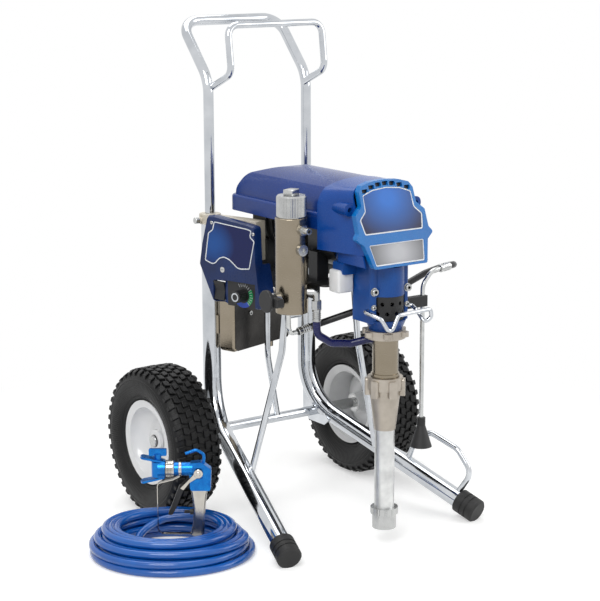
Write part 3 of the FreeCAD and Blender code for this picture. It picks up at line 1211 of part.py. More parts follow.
def gun_body():
    """The anodised fluid housing: rear block, barrel and front nut, with the hanging hook."""
    low = HANDLE_LEN
    block_wire = [Vector(-28, 0, low), Vector(13, 0, low), Vector(14, 0, low + 24), Vector(14, 0, BARREL_Z + 14),
                  Vector(-10, 0, BARREL_Z + 16), Vector(-30, 0, BARREL_Z + 1)]
    rear = plate(block_wire, 5.0, Vector(0, 20, 0))
    rear.translate(Vector(0, -10, 0))
    barrel = rod(BARREL_R, Vector(8, 0, BARREL_Z), Vector(45, 0, BARREL_Z))
    barrel = barrel.fuse(rod(SPIGOT_R, Vector(45, 0, BARREL_Z), Vector(69.7, 0, BARREL_Z)))
    nut = hexagon(30, Vector(45, 0, BARREL_Z), Vector(63, 0, BARREL_Z))
    hook = bent_rod([Vector(-14, 0, BARREL_Z + 11), Vector(-16, 0, BARREL_Z + 30), Vector(0, 0, BARREL_Z + 40),
                     Vector(22, 0, BARREL_Z + 32)], 3.2, 10)
    body = rear.fuse([barrel, nut, hook])
    slot = block(-13, 8, -12, -8, PIVOT_Z - 11, PIVOT_Z + 11)
    pin = rod(TRIGGER_PIN_R + RUN_CLEAR, Vector(PIVOT_X, -12, PIVOT_Z), Vector(PIVOT_X, 12, PIVOT_Z))
    return gun_place(body.cut(pin).cut(slot).cut(mirror_y(slot)))


def mirror_y(shape):
    return shape.mirror(Vector(0, 0, 0), Y_AXIS)


def gun_handle():
    """The cast grip with the strap guard from the barrel down to its foot."""
    sections = []
    for z, x0, x1, half in ((0, -14, 15, 11), (22, -15, 10, 12), (55, -17, 8, 11.5), (HANDLE_LEN, -22, 12, 10)):
        outline = [Vector(x0, -half, z), Vector(x1, -half, z), Vector(x1, half, z), Vector(x0, half, z)]
        sections.append(rounded_path(outline, 6.0, closed=True))
    grip = Part.makeLoft(sections, True, False)
    grip = grip.cut(rod(7, Vector(0, 0, -1), Vector(0, 0, 12)))
    line = rounded_path([Vector(34, 0, BARREL_Z - BARREL_R - 0.8), Vector(48, 0, BARREL_Z - BARREL_R - 8),
                         Vector(STRAP_X, 0, BARREL_Z - BARREL_R - 16),
                         Vector(STRAP_X, 0, 8), Vector(STRAP_X - 8, 0, 1), Vector(10, 0, 1)], 8.0)

    def strip(at, direction):
        side, over = Y_AXIS * 5, direction.cross(Y_AXIS) * 0.8
        corners = [at + side + over, at - side + over, at - side - over, at + side - over]
        return Part.Face(Part.makePolygon(corners + [corners[0]]))
    return gun_place(Part.makeCompound([grip, follow(line, strip).cut(grip)]))


def gun_trigger():
    """The four-finger trigger: two steel cheeks on the pivot pin and a moulded grip."""
    p = PIVOT_Z
    side = [Vector(-10, 0, p + 6), Vector(2, 0, p + 3), Vector(20, 0, p - 17), Vector(34, 0, p - 31),
            Vector(26, 0, p - 35), Vector(14, 0, p - 19), Vector(-6, 0, p - 7)]
    cheeks = []
    for y in (-12.2, 10.4):
        cheek = plate(side, 3.0, Vector(0, 1.8, 0))
        cheek.translate(Vector(0, y, 0))
        cheeks.append(cheek)
    pin = rod(TRIGGER_PIN_R, Vector(PIVOT_X, -12.2, p), Vector(PIVOT_X, 12.2, p))
    grip_line = [Vector(24, 0, p - 27), Vector(36, 0, p - 29), Vector(52, 0, p - 71), Vector(60, 0, p - 87),
                 Vector(50, 0, p - 87), Vector(40, 0, p - 69)]
    grip = plate(grip_line, 4.0, Vector(0, 24.4, 0))
    grip.translate(Vector(0, -12.2, 0))
    return gun_place(grip.fuse(cheeks + [pin]))


def trigger_lock():
    """The small swing lever on the grip's front that blocks the trigger."""
    pivot = Vector(GRIP_FRONT_X + FACE_GAP, 0, 47)
    body = rod(6, pivot, pivot + X_AXIS * 6)
    lever = block(pivot.x + 2, pivot.x + 18, -4, 4, 45, 49)
    return gun_place(body.fuse(soften(lever, 1.5, lambda e: along(e, Y_AXIS))))


def tip_guard():
    """The forked guard that turns on the front nut and keeps fingers off the tip."""
    base = rod(19, Vector(63.3, 0, BARREL_Z), Vector(TIP_X, 0, BARREL_Z))
    prongs = []
    for side in (-1, 1):
        outline = [Vector(64, -9, 0), Vector(84, -12, 0), Vector(110, -12, 0), Vector(114, -5, 0), Vector(114, 5, 0),
                   Vector(110, 12, 0), Vector(84, 12, 0), Vector(64, 9, 0)]
        prong = plate(outline, 4.0, Vector(0, 0, 4))
        prong.translate(Vector(0, 0, BARREL_Z + (14 if side > 0 else -18)))
        prong.rotate(Vector(64, 0, BARREL_Z + side * 16), Y_AXIS, -side * 12)
        prongs.append(prong)
    holder = rod(13, Vector(TIP_X, 0, BARREL_Z - 15), Vector(TIP_X, 0, BARREL_Z + 16))
    body = base.fuse(prongs + [holder])
    body = body.cut(rod(SPIGOT_R + RUN_CLEAR, Vector(60, 0, BARREL_Z), Vector(70, 0, BARREL_Z)))
    return gun_place(body.cut(rod(7 + RUN_CLEAR, Vector(TIP_X, 0, BARREL_Z - 14), Vector(TIP_X, 0, BARREL_Z + 40))))


def spray_tip():
    """The reversible tip: a cylinder in the guard with a T-handle above it."""
    stem = rod(7, Vector(TIP_X, 0, BARREL_Z - 13), Vector(TIP_X, 0, BARREL_Z + 32))
    wing = block(TIP_X - 18, TIP_X + 18, -3, 3, BARREL_Z + 28, BARREL_Z + 43)
    wing = soften(wing, 2.4, lambda e: along(e, Y_AXIS))
    return gun_place(stem.fuse(wing))


def gun_foot():
    return gun_point(0, 0, -SWIVEL_DROP)


# ---------------------------------------------------------------- paint hose
def coil_ring(long_r, short_r, low, high):
    ellipse = Part.Ellipse(Vector(0, 0, low), long_r, short_r)
    return Part.Face(Part.Wire(ellipse.toShape())).extrude(Vector(0, 0, high - low))


def coil_point(along_x, along_y, z):
    """A point in the coil's own axes, its long axis first."""
    turn = math.radians(COIL_TURN)
    return Vector(COIL_X + along_x * math.cos(turn) - along_y * math.sin(turn),
                  COIL_Y + along_x * math.sin(turn) + along_y * math.cos(turn), z)


def hose_coil():
    """The outer shape of the coiled hose: a squat oval ring, stepped in towards the top."""
    h = HOSE_R
    low = coil_ring(COIL_LONG, COIL_SHORT, 0, 3.8 * h)
    middle = coil_ring(COIL_LONG - 1.0 * h, COIL_SHORT - 3.05 * h, 1.0, COIL_H - 1.6 * h)
    top = coil_ring(COIL_LONG - 3.6 * h, COIL_SHORT - 4.55 * h, 1.0, COIL_H)
    hole = coil_ring(COIL_LONG - COIL_BAND, COIL_SHORT - COIL_BAND + 8, -1, COIL_H + 1)
    body = low.fuse([middle, top]).cut(hole)
    body.rotate(Vector(0, 0, 0), Z_AXIS, COIL_TURN)
    body.translate(Vector(COIL_X, COIL_Y, 0))
    return body


def gun_end_route():
    """From the gun's swivel down to the floor and into the coil's innermost turn."""
    start = gun_foot()
    floor_z = HOSE_R + 0.3
    return [start, start - Z_AXIS * 11, coil_point(58, 15, floor_z + 1), coil_point(64, 28, floor_z),
            coil_point(71, 44, floor_z), coil_point(74, 62, floor_z)]


def free_end_route():
    """From the coil's top turn down inside it to the floor."""
    return [coil_point(-16, 84, COIL_H - 24), coil_point(-50, 56, COIL_H - 33),
            coil_point(-70, 22, COIL_H - 44), coil_point(-68, -14, 14), coil_point(-48, -42, 10.6), free_end()]


def free_end():
    return coil_point(-18, -52, 9.8)


def smooth_route(points):
    """The bend radius that each corner of a hose route allows."""
    bends = {}
    for k in range(1, len(points) - 1):
        before, after = points[k - 1] - points[k], points[k + 1] - points[k]
        half_turn = (math.pi - before.getAngle(after)) / 2
        bends[k] = 0.45 * min(before.Length, after.Length) / math.tan(half_turn)
    return bends


def hose_tail():
    """The hose's two ends: one from the gun's swivel into the coil, one down inside the coil."""
    coil = hose_coil()
    tubes = []
    for name, route in (("gun end", gun_end_route()), ("free end", free_end_route())):
        bends = smooth_route(route)
        print(name, "bend radii", [round(r, 1) for r in bends.values()])
        tubes.append(bent_rod(route, HOSE_R, bends).cut(coil))
    return Part.makeCompound(tubes)


def hose_fittings():
    """The swivel union under the gun's grip, and the union on the hose's other end."""
    foot = gun_foot()
    swivel = rod(7, foot, gun_point(0, 0, 12)).fuse(hexagon(17, foot, gun_point(0, 0, 0)))
    start = free_end()
    route = free_end_route()
    ahead = (route[-1] - route[-2])
    ahead = Vector(ahead.x, ahead.y, 0).normalize()
    ferrule = rod(9, start + ahead * 0.2, start + ahead * 18)
    nut = hexagon(16.5, start + ahead * 18, start + ahead * 34)
    return Part.makeCompound([swivel, ferrule.fuse(nut).cut(rod(6.5, start + ahead * 24, start + ahead * 35))])


# ---------------------------------------------------------------- assembly
def assemble():
    nodes = {}
    for side, name in ((-1, "left"), (1, "right")):
        nodes["rail_" + name] = rail_with_plunger_hole(side)
        nodes["lock_plunger_" + name] = plunger(side)
        nodes["tyre_" + name] = tyre(side)
        nodes["rim_" + name] = rim(side)
        nodes["bearings_" + name] = wheel_bearings(side)
    nodes["rail_collars"] = Part.makeCompound([collar(-1), collar(1)])
    nodes["foot_caps"] = Part.makeCompound([foot_cap(-1), foot_cap(1)])
    nodes["axle_beam"] = axle_beam()
    nodes["axle"] = axle()
    nodes["front_braces"] = Part.makeCompound([front_brace(-1), front_brace(1)])
    nodes["centre_braces"] = centre_braces()
    nodes["leg_loop"] = leg_loop()
    nodes["handle"] = handle()
    nodes["motor_base"] = motor_base()
    nodes["motor_shroud"] = motor_shroud()
    nodes["motor_housing"] = motor_housing()
    nodes["motor_rotor"] = motor_rotor()
    nodes["reduction_gear"] = reduction_gear()
    nodes["crankshaft"] = crankshaft()
    nodes["drive_housing"] = drive_housing()
    nodes["front_cover"] = front_cover()
    nodes["cover_bezel"] = cover_bezel()
    nodes["connecting_rod"] = connecting_rod()
    nodes["pump_rod"] = pump_rod()
    nodes["rod_cover"] = rod_cover()
    nodes["jam_nut"] = jam_nut()
    nodes["pump_cylinder"] = pump_cylinder()
    nodes["intake_housing"] = intake_housing()
    nodes["inlet_ball"] = inlet_ball()
    nodes["suction_tube"] = suction_tube()
    nodes["strainer"] = strainer()
    nodes["pail_hook"] = pail_hook()
    nodes["filter_body"] = filter_body()
    nodes["filter_cap"] = filter_cap()
    nodes["filter_element"] = filter_element()
    nodes["fluid_fittings"] = fluid_fittings()
    nodes["prime_handle"] = prime_handle()
    nodes["pump_hose"] = pump_hose()
    nodes["drain_tubes"] = drain_tubes()
    nodes["drain_hose"] = drain_hose()
    nodes["drain_deflector"] = drain_deflector()
    nodes["control_cover"] = control_cover()
    nodes["control_enclosure"] = control_enclosure()
    nodes["board_enclosure"] = board_enclosure()
    nodes["power_switch"] = power_switch()
    nodes["pressure_knob"] = pressure_knob()
    nodes["gun_body"] = gun_body()
    nodes["gun_handle"] = gun_handle()
    nodes["gun_trigger"] = gun_trigger()
    nodes["trigger_lock"] = trigger_lock()
    nodes["tip_guard"] = tip_guard()
    nodes["spray_tip"] = spray_tip()
    nodes["hose_fittings"] = hose_fittings()
    nodes["hose_tail"] = hose_tail()
    nodes["hose_coil"] = hose_coil()
    return nodes


def main():
    os.makedirs("parts", exist_ok=True)
    nodes = assemble()
    rigid = Part.makeCompound([s for name, s in nodes.items() if name not in HOSE_NODES])
    box = rigid.optimalBoundingBox(False, False)
    shift = Vector(-box.Center.x, -box.Center.y, -box.ZMin)
    for name, shape in nodes.items():
        shape.translate(shift)
        shape.exportStep("parts/" + name + ".step")
        if not shape.isValid():
            print("not valid:", name)
    print("shift", shift)
    print("box", box)


main()
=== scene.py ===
import math
import bmesh
import bpy
from mathutils import Matrix, Vector


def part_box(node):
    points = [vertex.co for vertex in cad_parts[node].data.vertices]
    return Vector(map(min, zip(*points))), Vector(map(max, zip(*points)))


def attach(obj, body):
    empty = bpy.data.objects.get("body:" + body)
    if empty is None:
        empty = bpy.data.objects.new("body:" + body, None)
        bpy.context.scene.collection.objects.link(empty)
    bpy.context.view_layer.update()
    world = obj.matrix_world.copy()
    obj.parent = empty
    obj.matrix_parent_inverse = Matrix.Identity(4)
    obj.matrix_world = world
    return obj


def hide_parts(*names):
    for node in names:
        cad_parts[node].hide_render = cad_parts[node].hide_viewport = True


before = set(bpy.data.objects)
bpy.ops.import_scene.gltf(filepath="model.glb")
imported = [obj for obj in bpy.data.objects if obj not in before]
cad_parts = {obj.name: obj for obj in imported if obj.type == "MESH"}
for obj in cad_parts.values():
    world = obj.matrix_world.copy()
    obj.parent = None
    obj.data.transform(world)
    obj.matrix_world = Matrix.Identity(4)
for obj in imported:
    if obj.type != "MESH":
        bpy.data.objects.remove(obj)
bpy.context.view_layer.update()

scene = bpy.context.scene

# The cart's own axes are in mm, from the floor under the middle of the axle.
# Pieces are modelled there and moved to the frame at the end.
axleLow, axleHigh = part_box("axle")
cartOrigin = Vector(((axleLow[0] + axleHigh[0]) * 500, (axleLow[1] + axleHigh[1]) * 500, 0.0))
toFrame = Matrix.Scale(0.001, 4) @ Matrix.Translation(cartOrigin)
axisX, axisY, axisZ = Vector((1, 0, 0)), Vector((0, 1, 0)), Vector((0, 0, 1))


def cart(x, y, z):
    return toFrame @ Vector((x, y, z))


# ---- small tools
def linear(code):
    # from a hex sRGB code to the linear colour that sockets hold
    parts = [int(code[i:i + 2], 16) / 255 for i in (1, 3, 5)]
    return [p / 12.92 if p <= 0.04045 else ((p + 0.055) / 1.055) ** 2.4 for p in parts] + [1.0]


def addNode(tree, kind, settings=None, links=None):
    node = tree.nodes.new("ShaderNode" + kind)
    for key, value in (settings or {}).items():
        if isinstance(key, int) or key in node.inputs:
            node.inputs[key].default_value = value
        else:
            setattr(node, key, value)
    for socket, source in (links or {}).items():
        tree.links.new(source, node.inputs[socket])
    return node


def startMaterial(name):
    material = bpy.data.materials.new(name)
    material.use_nodes = True
    material.node_tree.nodes.clear()
    tree = material.node_tree
    shader = addNode(tree, "BsdfPrincipled")
    addNode(tree, "OutputMaterial", links={"Surface": shader.outputs[0]})
    return material, tree, shader


def addRamp(tree, source, dark, light, stops=(0.0, 1.0)):
    ramp = addNode(tree, "ValToRGB", links={"Fac": source})
    for element, at, code in zip(ramp.color_ramp.elements, stops, (dark, light)):
        element.position, element.color = at, linear(code)
    return ramp.outputs[0]


skin = {"drift": {"Detail": 3.0, "Roughness": 0.55}, "grain": {"Detail": 2.0, "Roughness": 0.6},
        "tones": (0.32, 0.68), "grainSpan": {"From Min": 0.3, "From Max": 0.7}}


def makeFinish(name, look):
    # colour drifts from one tone to the other over "drift" mm, the surface has a grain of "grain" mm
    # and "depth" mm, and "stretch" draws the grain out along an axis, as a brush or a mould does
    material, tree, shader = startMaterial(name)
    place = addNode(tree, "TexCoord").outputs["Object"]
    stretched = addNode(tree, "Mapping", {"Scale": look.get("stretch", (1, 1, 1))}, {"Vector": place})
    drift = addNode(tree, "TexNoise", {"Scale": 1000 / look["drift"], **skin["drift"]}, {"Vector": place})
    grain = addNode(tree, "TexNoise", {"Scale": 1000 / look["grain"], **skin["grain"]},
                    {"Vector": stretched.outputs[0]})
    tones = addRamp(tree, drift.outputs["Fac"], look["dark"], look["light"], skin["tones"])
    low, high = look["rough"]
    polish = addNode(tree, "MapRange", {**skin["grainSpan"], "To Min": low, "To Max": high},
                     {"Value": grain.outputs["Fac"]})
    relief = addNode(tree, "Bump", {"Strength": 1.0, "Distance": look["depth"] / 1000},
                     {"Height": grain.outputs["Fac"]})
    tree.links.new(tones, shader.inputs["Base Color"])
    tree.links.new(polish.outputs[0], shader.inputs["Roughness"])
    tree.links.new(relief.outputs[0], shader.inputs["Normal"])
    for socket in ("Metallic", "Coat Weight", "Coat Roughness", "IOR", "Specular IOR Level"):
        if socket in look:
            shader.inputs[socket].default_value = look[socket]
    return material


# injection-moulded ABS takes the gloss and the faint orange peel of its mould
mouldedAbs = {"grain": 2.2, "depth": 0.012, "rough": (0.20, 0.30), "Specular IOR Level": 0.3,
              "Coat Weight": 0.08, "Coat Roughness": 0.08}
finishes = {
    # chromium plate over bent steel tube: mirror-like, a faint haze from polishing
    "chromePlate": {"dark": "#b9bdc2", "light": "#cfd2d6", "drift": 60, "grain": 14, "depth": 0.0015,
                    "rough": (0.045, 0.10), "Metallic": 1.0},
    # bright zinc on turned steel: fine lathe rings, a slightly warm grey
    "zincSteel": {"dark": "#b4b5b5", "light": "#c2c3c2", "drift": 25, "grain": 0.5, "depth": 0.01,
                  "rough": (0.18, 0.30), "Metallic": 1.0},
    # drawn stainless tube: satin with lengthways lines
    "stainlessTube": {"dark": "#b4b6b6", "light": "#d6d7d6", "drift": 25, "grain": 2.0, "depth": 0.01,
                      "rough": (0.14, 0.26), "Metallic": 1.0, "stretch": (1, 1, 0.1)},
    # extruded aluminium, satin anodised: fine lines along the tube
    "satinAluminium": {"dark": "#c2c3c3", "light": "#dedfde", "drift": 30, "grain": 1.6, "depth": 0.02,
                       "rough": (0.28, 0.42), "Metallic": 1.0, "stretch": (1, 1, 0.08)},
    # investment-cast steel, nickel plated: warm beige grey, sandy skin
    "castNickel": {"dark": "#a79f94", "light": "#b9b1a6", "drift": 30, "grain": 1.2, "depth": 0.08,
                   "rough": (0.34, 0.52), "Metallic": 0.85},
    # brushed bronze-grey plating on the turned filter bowl: rings round its axis
    "brushedBronze": {"dark": "#8f8574", "light": "#998f7f", "drift": 90, "grain": 1.0, "depth": 0.03,
                      "rough": (0.16, 0.28), "Metallic": 1.0, "stretch": (0.06, 0.06, 1)},
    # deep blue motor shroud
    "deepBlueAbs": {"dark": "#062c72", "light": "#083580", "drift": 120, **mouldedAbs},
    # brighter blue front cover
    "brightBlueAbs": {"dark": "#063e8c", "light": "#094898", "drift": 90, **mouldedAbs},
    # bezel round the plates in sky blue, the tone of its lit sloped sides: a painted highlight over the
    # bezel's own royal blue
    "skyBlueAbsPaintedHighlight": {"dark": "#0464ae", "light": "#0874be", "drift": 90, **mouldedAbs},
    # powder coat on the cast drive housing: thick, rounded, a little orange peel
    "bluePowderCoat": {"dark": "#053f88", "light": "#084b96", "drift": 60, "grain": 1.8, "depth": 0.05,
                       "rough": (0.26, 0.38), "Specular IOR Level": 0.35, "Coat Weight": 0.1,
                       "Coat Roughness": 0.12},
    # navy ABS of the control cover
    "navyAbs": {"dark": "#06204e", "light": "#092b62", "drift": 80, "grain": 1.4, "depth": 0.015,
                "rough": (0.24, 0.36), "Specular IOR Level": 0.35, "Coat Weight": 0.08,
                "Coat Roughness": 0.12},
    # moulded nylon, matt black with a fine spark-eroded texture
    "blackNylon": {"dark": "#121213", "light": "#1c1c1e", "drift": 40, "grain": 0.9, "depth": 0.04,
                   "rough": (0.42, 0.60), "IOR": 1.52},
    # soft moulded rubber of the foot boots and hoses
    "blackRubber": {"dark": "#101011", "light": "#191919", "drift": 30, "grain": 1.2, "depth": 0.03,
                    "rough": (0.48, 0.66), "IOR": 1.5},
    # smooth extruded hose cover, black, with a light shine
    "hoseCoverBlack": {"dark": "#0f1012", "light": "#1a1b1e", "drift": 40, "grain": 3.0, "depth": 0.02,
                       "rough": (0.28, 0.42), "IOR": 1.5},
    # smooth extruded polyurethane hose cover, saturated blue and glossy
    "hoseCoverBlue": {"dark": "#0450a4", "light": "#0860b6", "drift": 90, "grain": 5.0, "depth": 0.02,
                      "rough": (0.14, 0.24), "IOR": 1.5, "Coat Weight": 0.3, "Coat Roughness": 0.06},
    # the pump hose: the same cover in dark indigo
    "hoseCoverIndigo": {"dark": "#10164a", "light": "#181f5e", "drift": 90, "grain": 5.0, "depth": 0.02,
                        "rough": (0.20, 0.30), "Specular IOR Level": 0.4},
    # white stove enamel on the pressed wheel discs: wet-looking gloss
    "whiteEnamel": {"dark": "#e6e7e8", "light": "#f1f1f1", "drift": 80, "grain": 4.0, "depth": 0.01,
                    "rough": (0.16, 0.26), "IOR": 1.5, "Coat Weight": 0.4, "Coat Roughness": 0.05},
    # satin black powder coat on the pressed tray
    "blackPowderCoat": {"dark": "#161718", "light": "#202123", "drift": 50, "grain": 1.6, "depth": 0.04,
                        "rough": (0.36, 0.50), "IOR": 1.5},
    # pale beige powder coat on the sheet-metal control case
    "beigePowderCoat": {"dark": "#c4bcaa", "light": "#d6cfc0", "drift": 50, "grain": 1.6, "depth": 0.03,
                        "rough": (0.36, 0.50), "IOR": 1.5},
    # blue anodised aluminium: dyed oxide, machined and tumbled
    "blueAnodised": {"dark": "#0d62b2", "light": "#167ac8", "drift": 14, "grain": 1.2, "depth": 0.02,
                     "rough": (0.22, 0.34), "Metallic": 0.75},
    # die-cast aluminium grip, brushed bright
    "brushedAluminium": {"dark": "#b4b0a9", "light": "#c6c2bb", "drift": 40, "grain": 0.8, "depth": 0.02,
                         "rough": (0.14, 0.24), "Metallic": 1.0},
}
finish = {name: makeFinish(name, look) for name, look in finishes.items()}

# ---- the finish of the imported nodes
nodeFinish = {
    "chromePlate": ["rail_left", "rail_right", "handle", "front_braces", "centre_braces", "leg_loop",
                    "axle_beam", "pail_hook"],
    "zincSteel": ["lock_plunger_left", "lock_plunger_right", "bearings_left", "bearings_right", "axle",
                  "crankshaft", "reduction_gear", "connecting_rod", "pump_rod", "fluid_fittings",
                  "inlet_ball", "strainer", "hose_fittings"],
    "blackPowderCoat": ["motor_base", "motor_housing"],
    "stainlessTube": ["drain_tubes"],
    "satinAluminium": ["suction_tube", "motor_rotor"],
    "castNickel": ["jam_nut", "intake_housing"],
    "brushedBronze": ["filter_body", "filter_cap", "pump_cylinder", "board_enclosure"],
    "deepBlueAbs": ["motor_shroud"],
    "brightBlueAbs": ["front_cover"],
    # the bezel's sky blue is a painted highlight of its lit sides
    "skyBlueAbsPaintedHighlight": ["cover_bezel"],
    "bluePowderCoat": ["drive_housing"],
    "navyAbs": ["control_cover"],
    "blackNylon": ["rod_cover", "prime_handle", "power_switch", "pressure_knob", "drain_deflector",
                   "gun_trigger", "trigger_lock", "filter_element"],
    "blackRubber": ["foot_caps", "tyre_left", "tyre_right"],
    "hoseCoverBlack": ["drain_hose"],
    "hoseCoverIndigo": ["pump_hose"],
    "whiteEnamel": ["rim_left", "rim_right"],
    "beigePowderCoat": ["control_enclosure", "rail_collars"],
    "blueAnodised": ["gun_body", "tip_guard", "spray_tip"],
    "brushedAluminium": ["gun_handle"],
}
for name, nodes in nodeFinish.items():
    for node in nodes:
        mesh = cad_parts[node].data
        mesh.materials.clear()
        mesh.materials.append(finish[name])
print("finishes assigned")


# ---- piece tools
nearAxis = 0.001  # where a turned profile closes on its axis, in mm


def toPiece(bm, name, body, materials, replaces=(), sharp=32):
    bmesh.ops.remove_doubles(bm, verts=bm.verts, dist=0.005)
    bmesh.ops.recalc_face_normals(bm, faces=bm.faces)
    bmesh.ops.transform(bm, matrix=toFrame, verts=bm.verts)
    mesh = bpy.data.meshes.new(name)
    bm.to_mesh(mesh)
    bm.free()
    for material in materials:
        mesh.materials.append(material)
    mesh.shade_smooth()
    mesh.set_sharp_from_angle(angle=math.radians(sharp))
    piece = bpy.data.objects.new(name, mesh)
    scene.collection.objects.link(piece)
    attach(piece, body)
    if replaces:
        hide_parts(*replaces)
    return piece


def between(start, end):
    # where a shape along z goes to stand on the line from start to end
    turn = axisZ.rotation_difference(end - start).to_matrix().to_4x4()
    return Matrix.Translation((start + end) / 2) @ turn


def addRod(bm, start, end, radius, endRadius=None, segments=32, index=0):
    made = bmesh.ops.create_cone(bm, cap_ends=True, segments=segments, radius1=radius,
                                 radius2=radius if endRadius is None else endRadius,
                                 depth=(end - start).length, matrix=between(start, end))
    for face in {f for v in made["verts"] for f in v.link_faces}:
        face.material_index = index
    return made["verts"]


def addSpin(bm, profile, centre, axis, across, steps=64, index=0):
    # profile is (along the axis, out from it)
    before = set(bm.faces)
    verts = [bm.verts.new(centre + axis * a + across * r) for a, r in profile]
    edges = [bm.edges.new(pair) for pair in zip(verts, verts[1:])]
    bmesh.ops.spin(bm, geom=verts + edges, cent=centre, axis=axis, angle=2 * math.pi, steps=steps,
                   use_merge=True, use_duplicate=False)
    bmesh.ops.remove_doubles(bm, verts=bm.verts, dist=0.01)
    for face in set(bm.faces) - before:
        face.material_index = index


def addPlate(bm, corners, depth, index=0):
    face = bm.faces.new([bm.verts.new(corner) for corner in corners])
    face.material_index = index
    grown = bmesh.ops.extrude_face_region(bm, geom=[face], use_keep_orig=True)["geom"]
    moved = [part for part in grown if isinstance(part, bmesh.types.BMVert)]
    bmesh.ops.translate(bm, vec=depth, verts=moved)
    for vert in moved:
        for side in vert.link_faces:
            side.material_index = index
    return moved


# ---- camera, fitted to the photograph
viewer = {"place": (-2082.64, -3126.61, 1244.29), "right": (0.820202, -0.572065, -0.003377),
          "up": (0.122997, 0.170577, 0.977638), "back": (-0.558696, -0.802275, 0.210270),
          "sensor": 36.0, "focalPixels": 1730.05, "imagePixels": 601, "farEnd": 40.0}
cameraData = bpy.data.cameras.new("camera")
cameraData.sensor_width = viewer["sensor"]
cameraData.lens = viewer["sensor"] * viewer["focalPixels"] / viewer["imagePixels"]
cameraData.clip_end = viewer["farEnd"]
camera = bpy.data.objects.new("camera", cameraData)
scene.collection.objects.link(camera)
cameraAxes = Matrix([viewer[side] for side in ("right", "up", "back")]).transposed().to_4x4()
camera.matrix_world = Matrix.Translation(cart(*viewer["place"])) @ cameraAxes
scene.camera = camera

# ---- paint hose, coiled on the floor
coil = {"middle": (-388.0, -230.0), "turn": -34.85, "radius": 8.0, "pointsPerTurn": 18, "looseness": 1.3,
        "wander": 2.3, "startAt": 52, "climbOver": 130, "splineShare": 0.995,
        # height, long half-axis from and to, how much shorter the other half-axis is from and to, turns
        "layers": [(8.3, 107.0, 168.5, 13.0, 19.0, 3.95),
                   (22.6, 168.5, 101.0, 19.5, 11.0, 4.25),
                   (38.4, 101.0, 159.5, 12.0, 31.0, 3.7),
                   (54.0, 141.0, 103.0, 24.0, 13.0, 3.17)]}


def coilPoint(along, aside, height):
    turn = math.radians(coil["turn"])
    x, y = coil["middle"]
    return Vector((x + along * math.cos(turn) - aside * math.sin(turn),
                   y + along * math.sin(turn) + aside * math.cos(turn), height))


def windCoil():
    points, angle = [], math.radians(coil["startAt"])
    height = coil["layers"][0][0]
    step = 2 * math.pi / coil["pointsPerTurn"]
    for level, (z, longFrom, longTo, lessFrom, lessTo, turns) in enumerate(coil["layers"]):
        count = round(turns * coil["pointsPerTurn"])
        start = height
        for k in range(count):
            share = k / count
            climb = min(1.0, k * step / math.radians(coil["climbOver"]))
            height = start + (z - start) * climb * climb * (3 - 2 * climb)
            wave = math.sin(coil["wander"] * angle + level) * min(share, 1 - share)
            wander = coil["looseness"] * level * wave
            longer = longFrom + (longTo - longFrom) * share - abs(wander)
            shorter = longer - (lessFrom + (lessTo - lessFrom) * share)
            points.append(coilPoint(longer * math.cos(angle), shorter * math.sin(angle), height))
            angle += step
    print("coil ends at", round(math.degrees(angle) % 360), "degrees,", round(longer), "mm out")
    return points


gunFoot = Vector((-340.0, -256.0, 30.0))
# the route's two ends: down from the gun to the coil, and from its top down to the floor inside it
gunEnd = [(58, 15, 9.3), (64, 28, 8.3), (71, 44, 8.3), (74, 62, 8.3)]
freeEnd = [(-16, 84, 46), (-50, 56, 37), (-70, 22, 26), (-68, -14, 14), (-48, -42, 10.6), (-18, -52, 9.8)]
hosePoints = [gunFoot, gunFoot - axisZ * 11, *(coilPoint(*p) for p in gunEnd), *windCoil(),
              *(coilPoint(*p) for p in freeEnd)]
hoseLine = [toFrame @ p for p in hosePoints]
hoseCurve = bpy.data.curves.new("paintHose", "CURVE")
hoseCurve.dimensions = "3D"
hoseSpline = hoseCurve.splines.new("NURBS")
hoseSpline.points.add(len(hoseLine) - 1)
for point, place in zip(hoseSpline.points, hoseLine):
    point.co = (*place, 1.0)
hoseSpline.order_u = 3
hoseSpline.use_endpoint_u = True
hoseSpline.resolution_u = 5
hoseCurve.bevel_depth = coil["radius"] / 1000
hoseCurve.bevel_resolution = 3
hoseCurve.use_fill_caps = True
hoseCurve.materials.append(finish["hoseCoverBlue"])
paintHose = bpy.data.objects.new("paintHose", hoseCurve)
scene.collection.objects.link(paintHose)
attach(paintHose, "cart")
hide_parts("hose_coil", "hose_tail")

# ---- floor, backdrop and light
studio = {"floorTone": "#e4e4e3", "floorLift": 0.42, "floorHalf": 1.7, "fadeFrom": 0.55, "fadeTo": 1.3,
          "ambient": 0.42, "backdrop": 1.0, "aim": (0.05, -0.05, 0.4)}
white = (1, 1, 1, 1)


def addSeenRays(tree):
    # 1 for rays that see the pale background itself, from the camera or by way of metal or glass
    rays = addNode(tree, "LightPath").outputs
    seen = rays["Is Camera Ray"]
    for other in ("Is Glossy Ray", "Is Transmission Ray"):
        seen = addNode(tree, "Math", {"operation": "MAXIMUM"}, {0: seen, 1: rays[other]}).outputs[0]
    return seen


floorMaterial = bpy.data.materials.new("studioFloor")
floorMaterial.use_nodes = True
floorTree = floorMaterial.node_tree
floorTree.nodes.clear()
paper = addNode(floorTree, "BsdfDiffuse", {"Color": linear(studio["floorTone"])})
seen = addSeenRays(floorTree)
glow = addNode(floorTree, "Math", {"operation": "MULTIPLY", 1: studio["floorLift"]}, {0: seen})
lift = addNode(floorTree, "Emission", {"Color": white}, {"Strength": glow.outputs[0]})
near = addNode(floorTree, "AddShader", links={0: paper.outputs[0], 1: lift.outputs[0]})
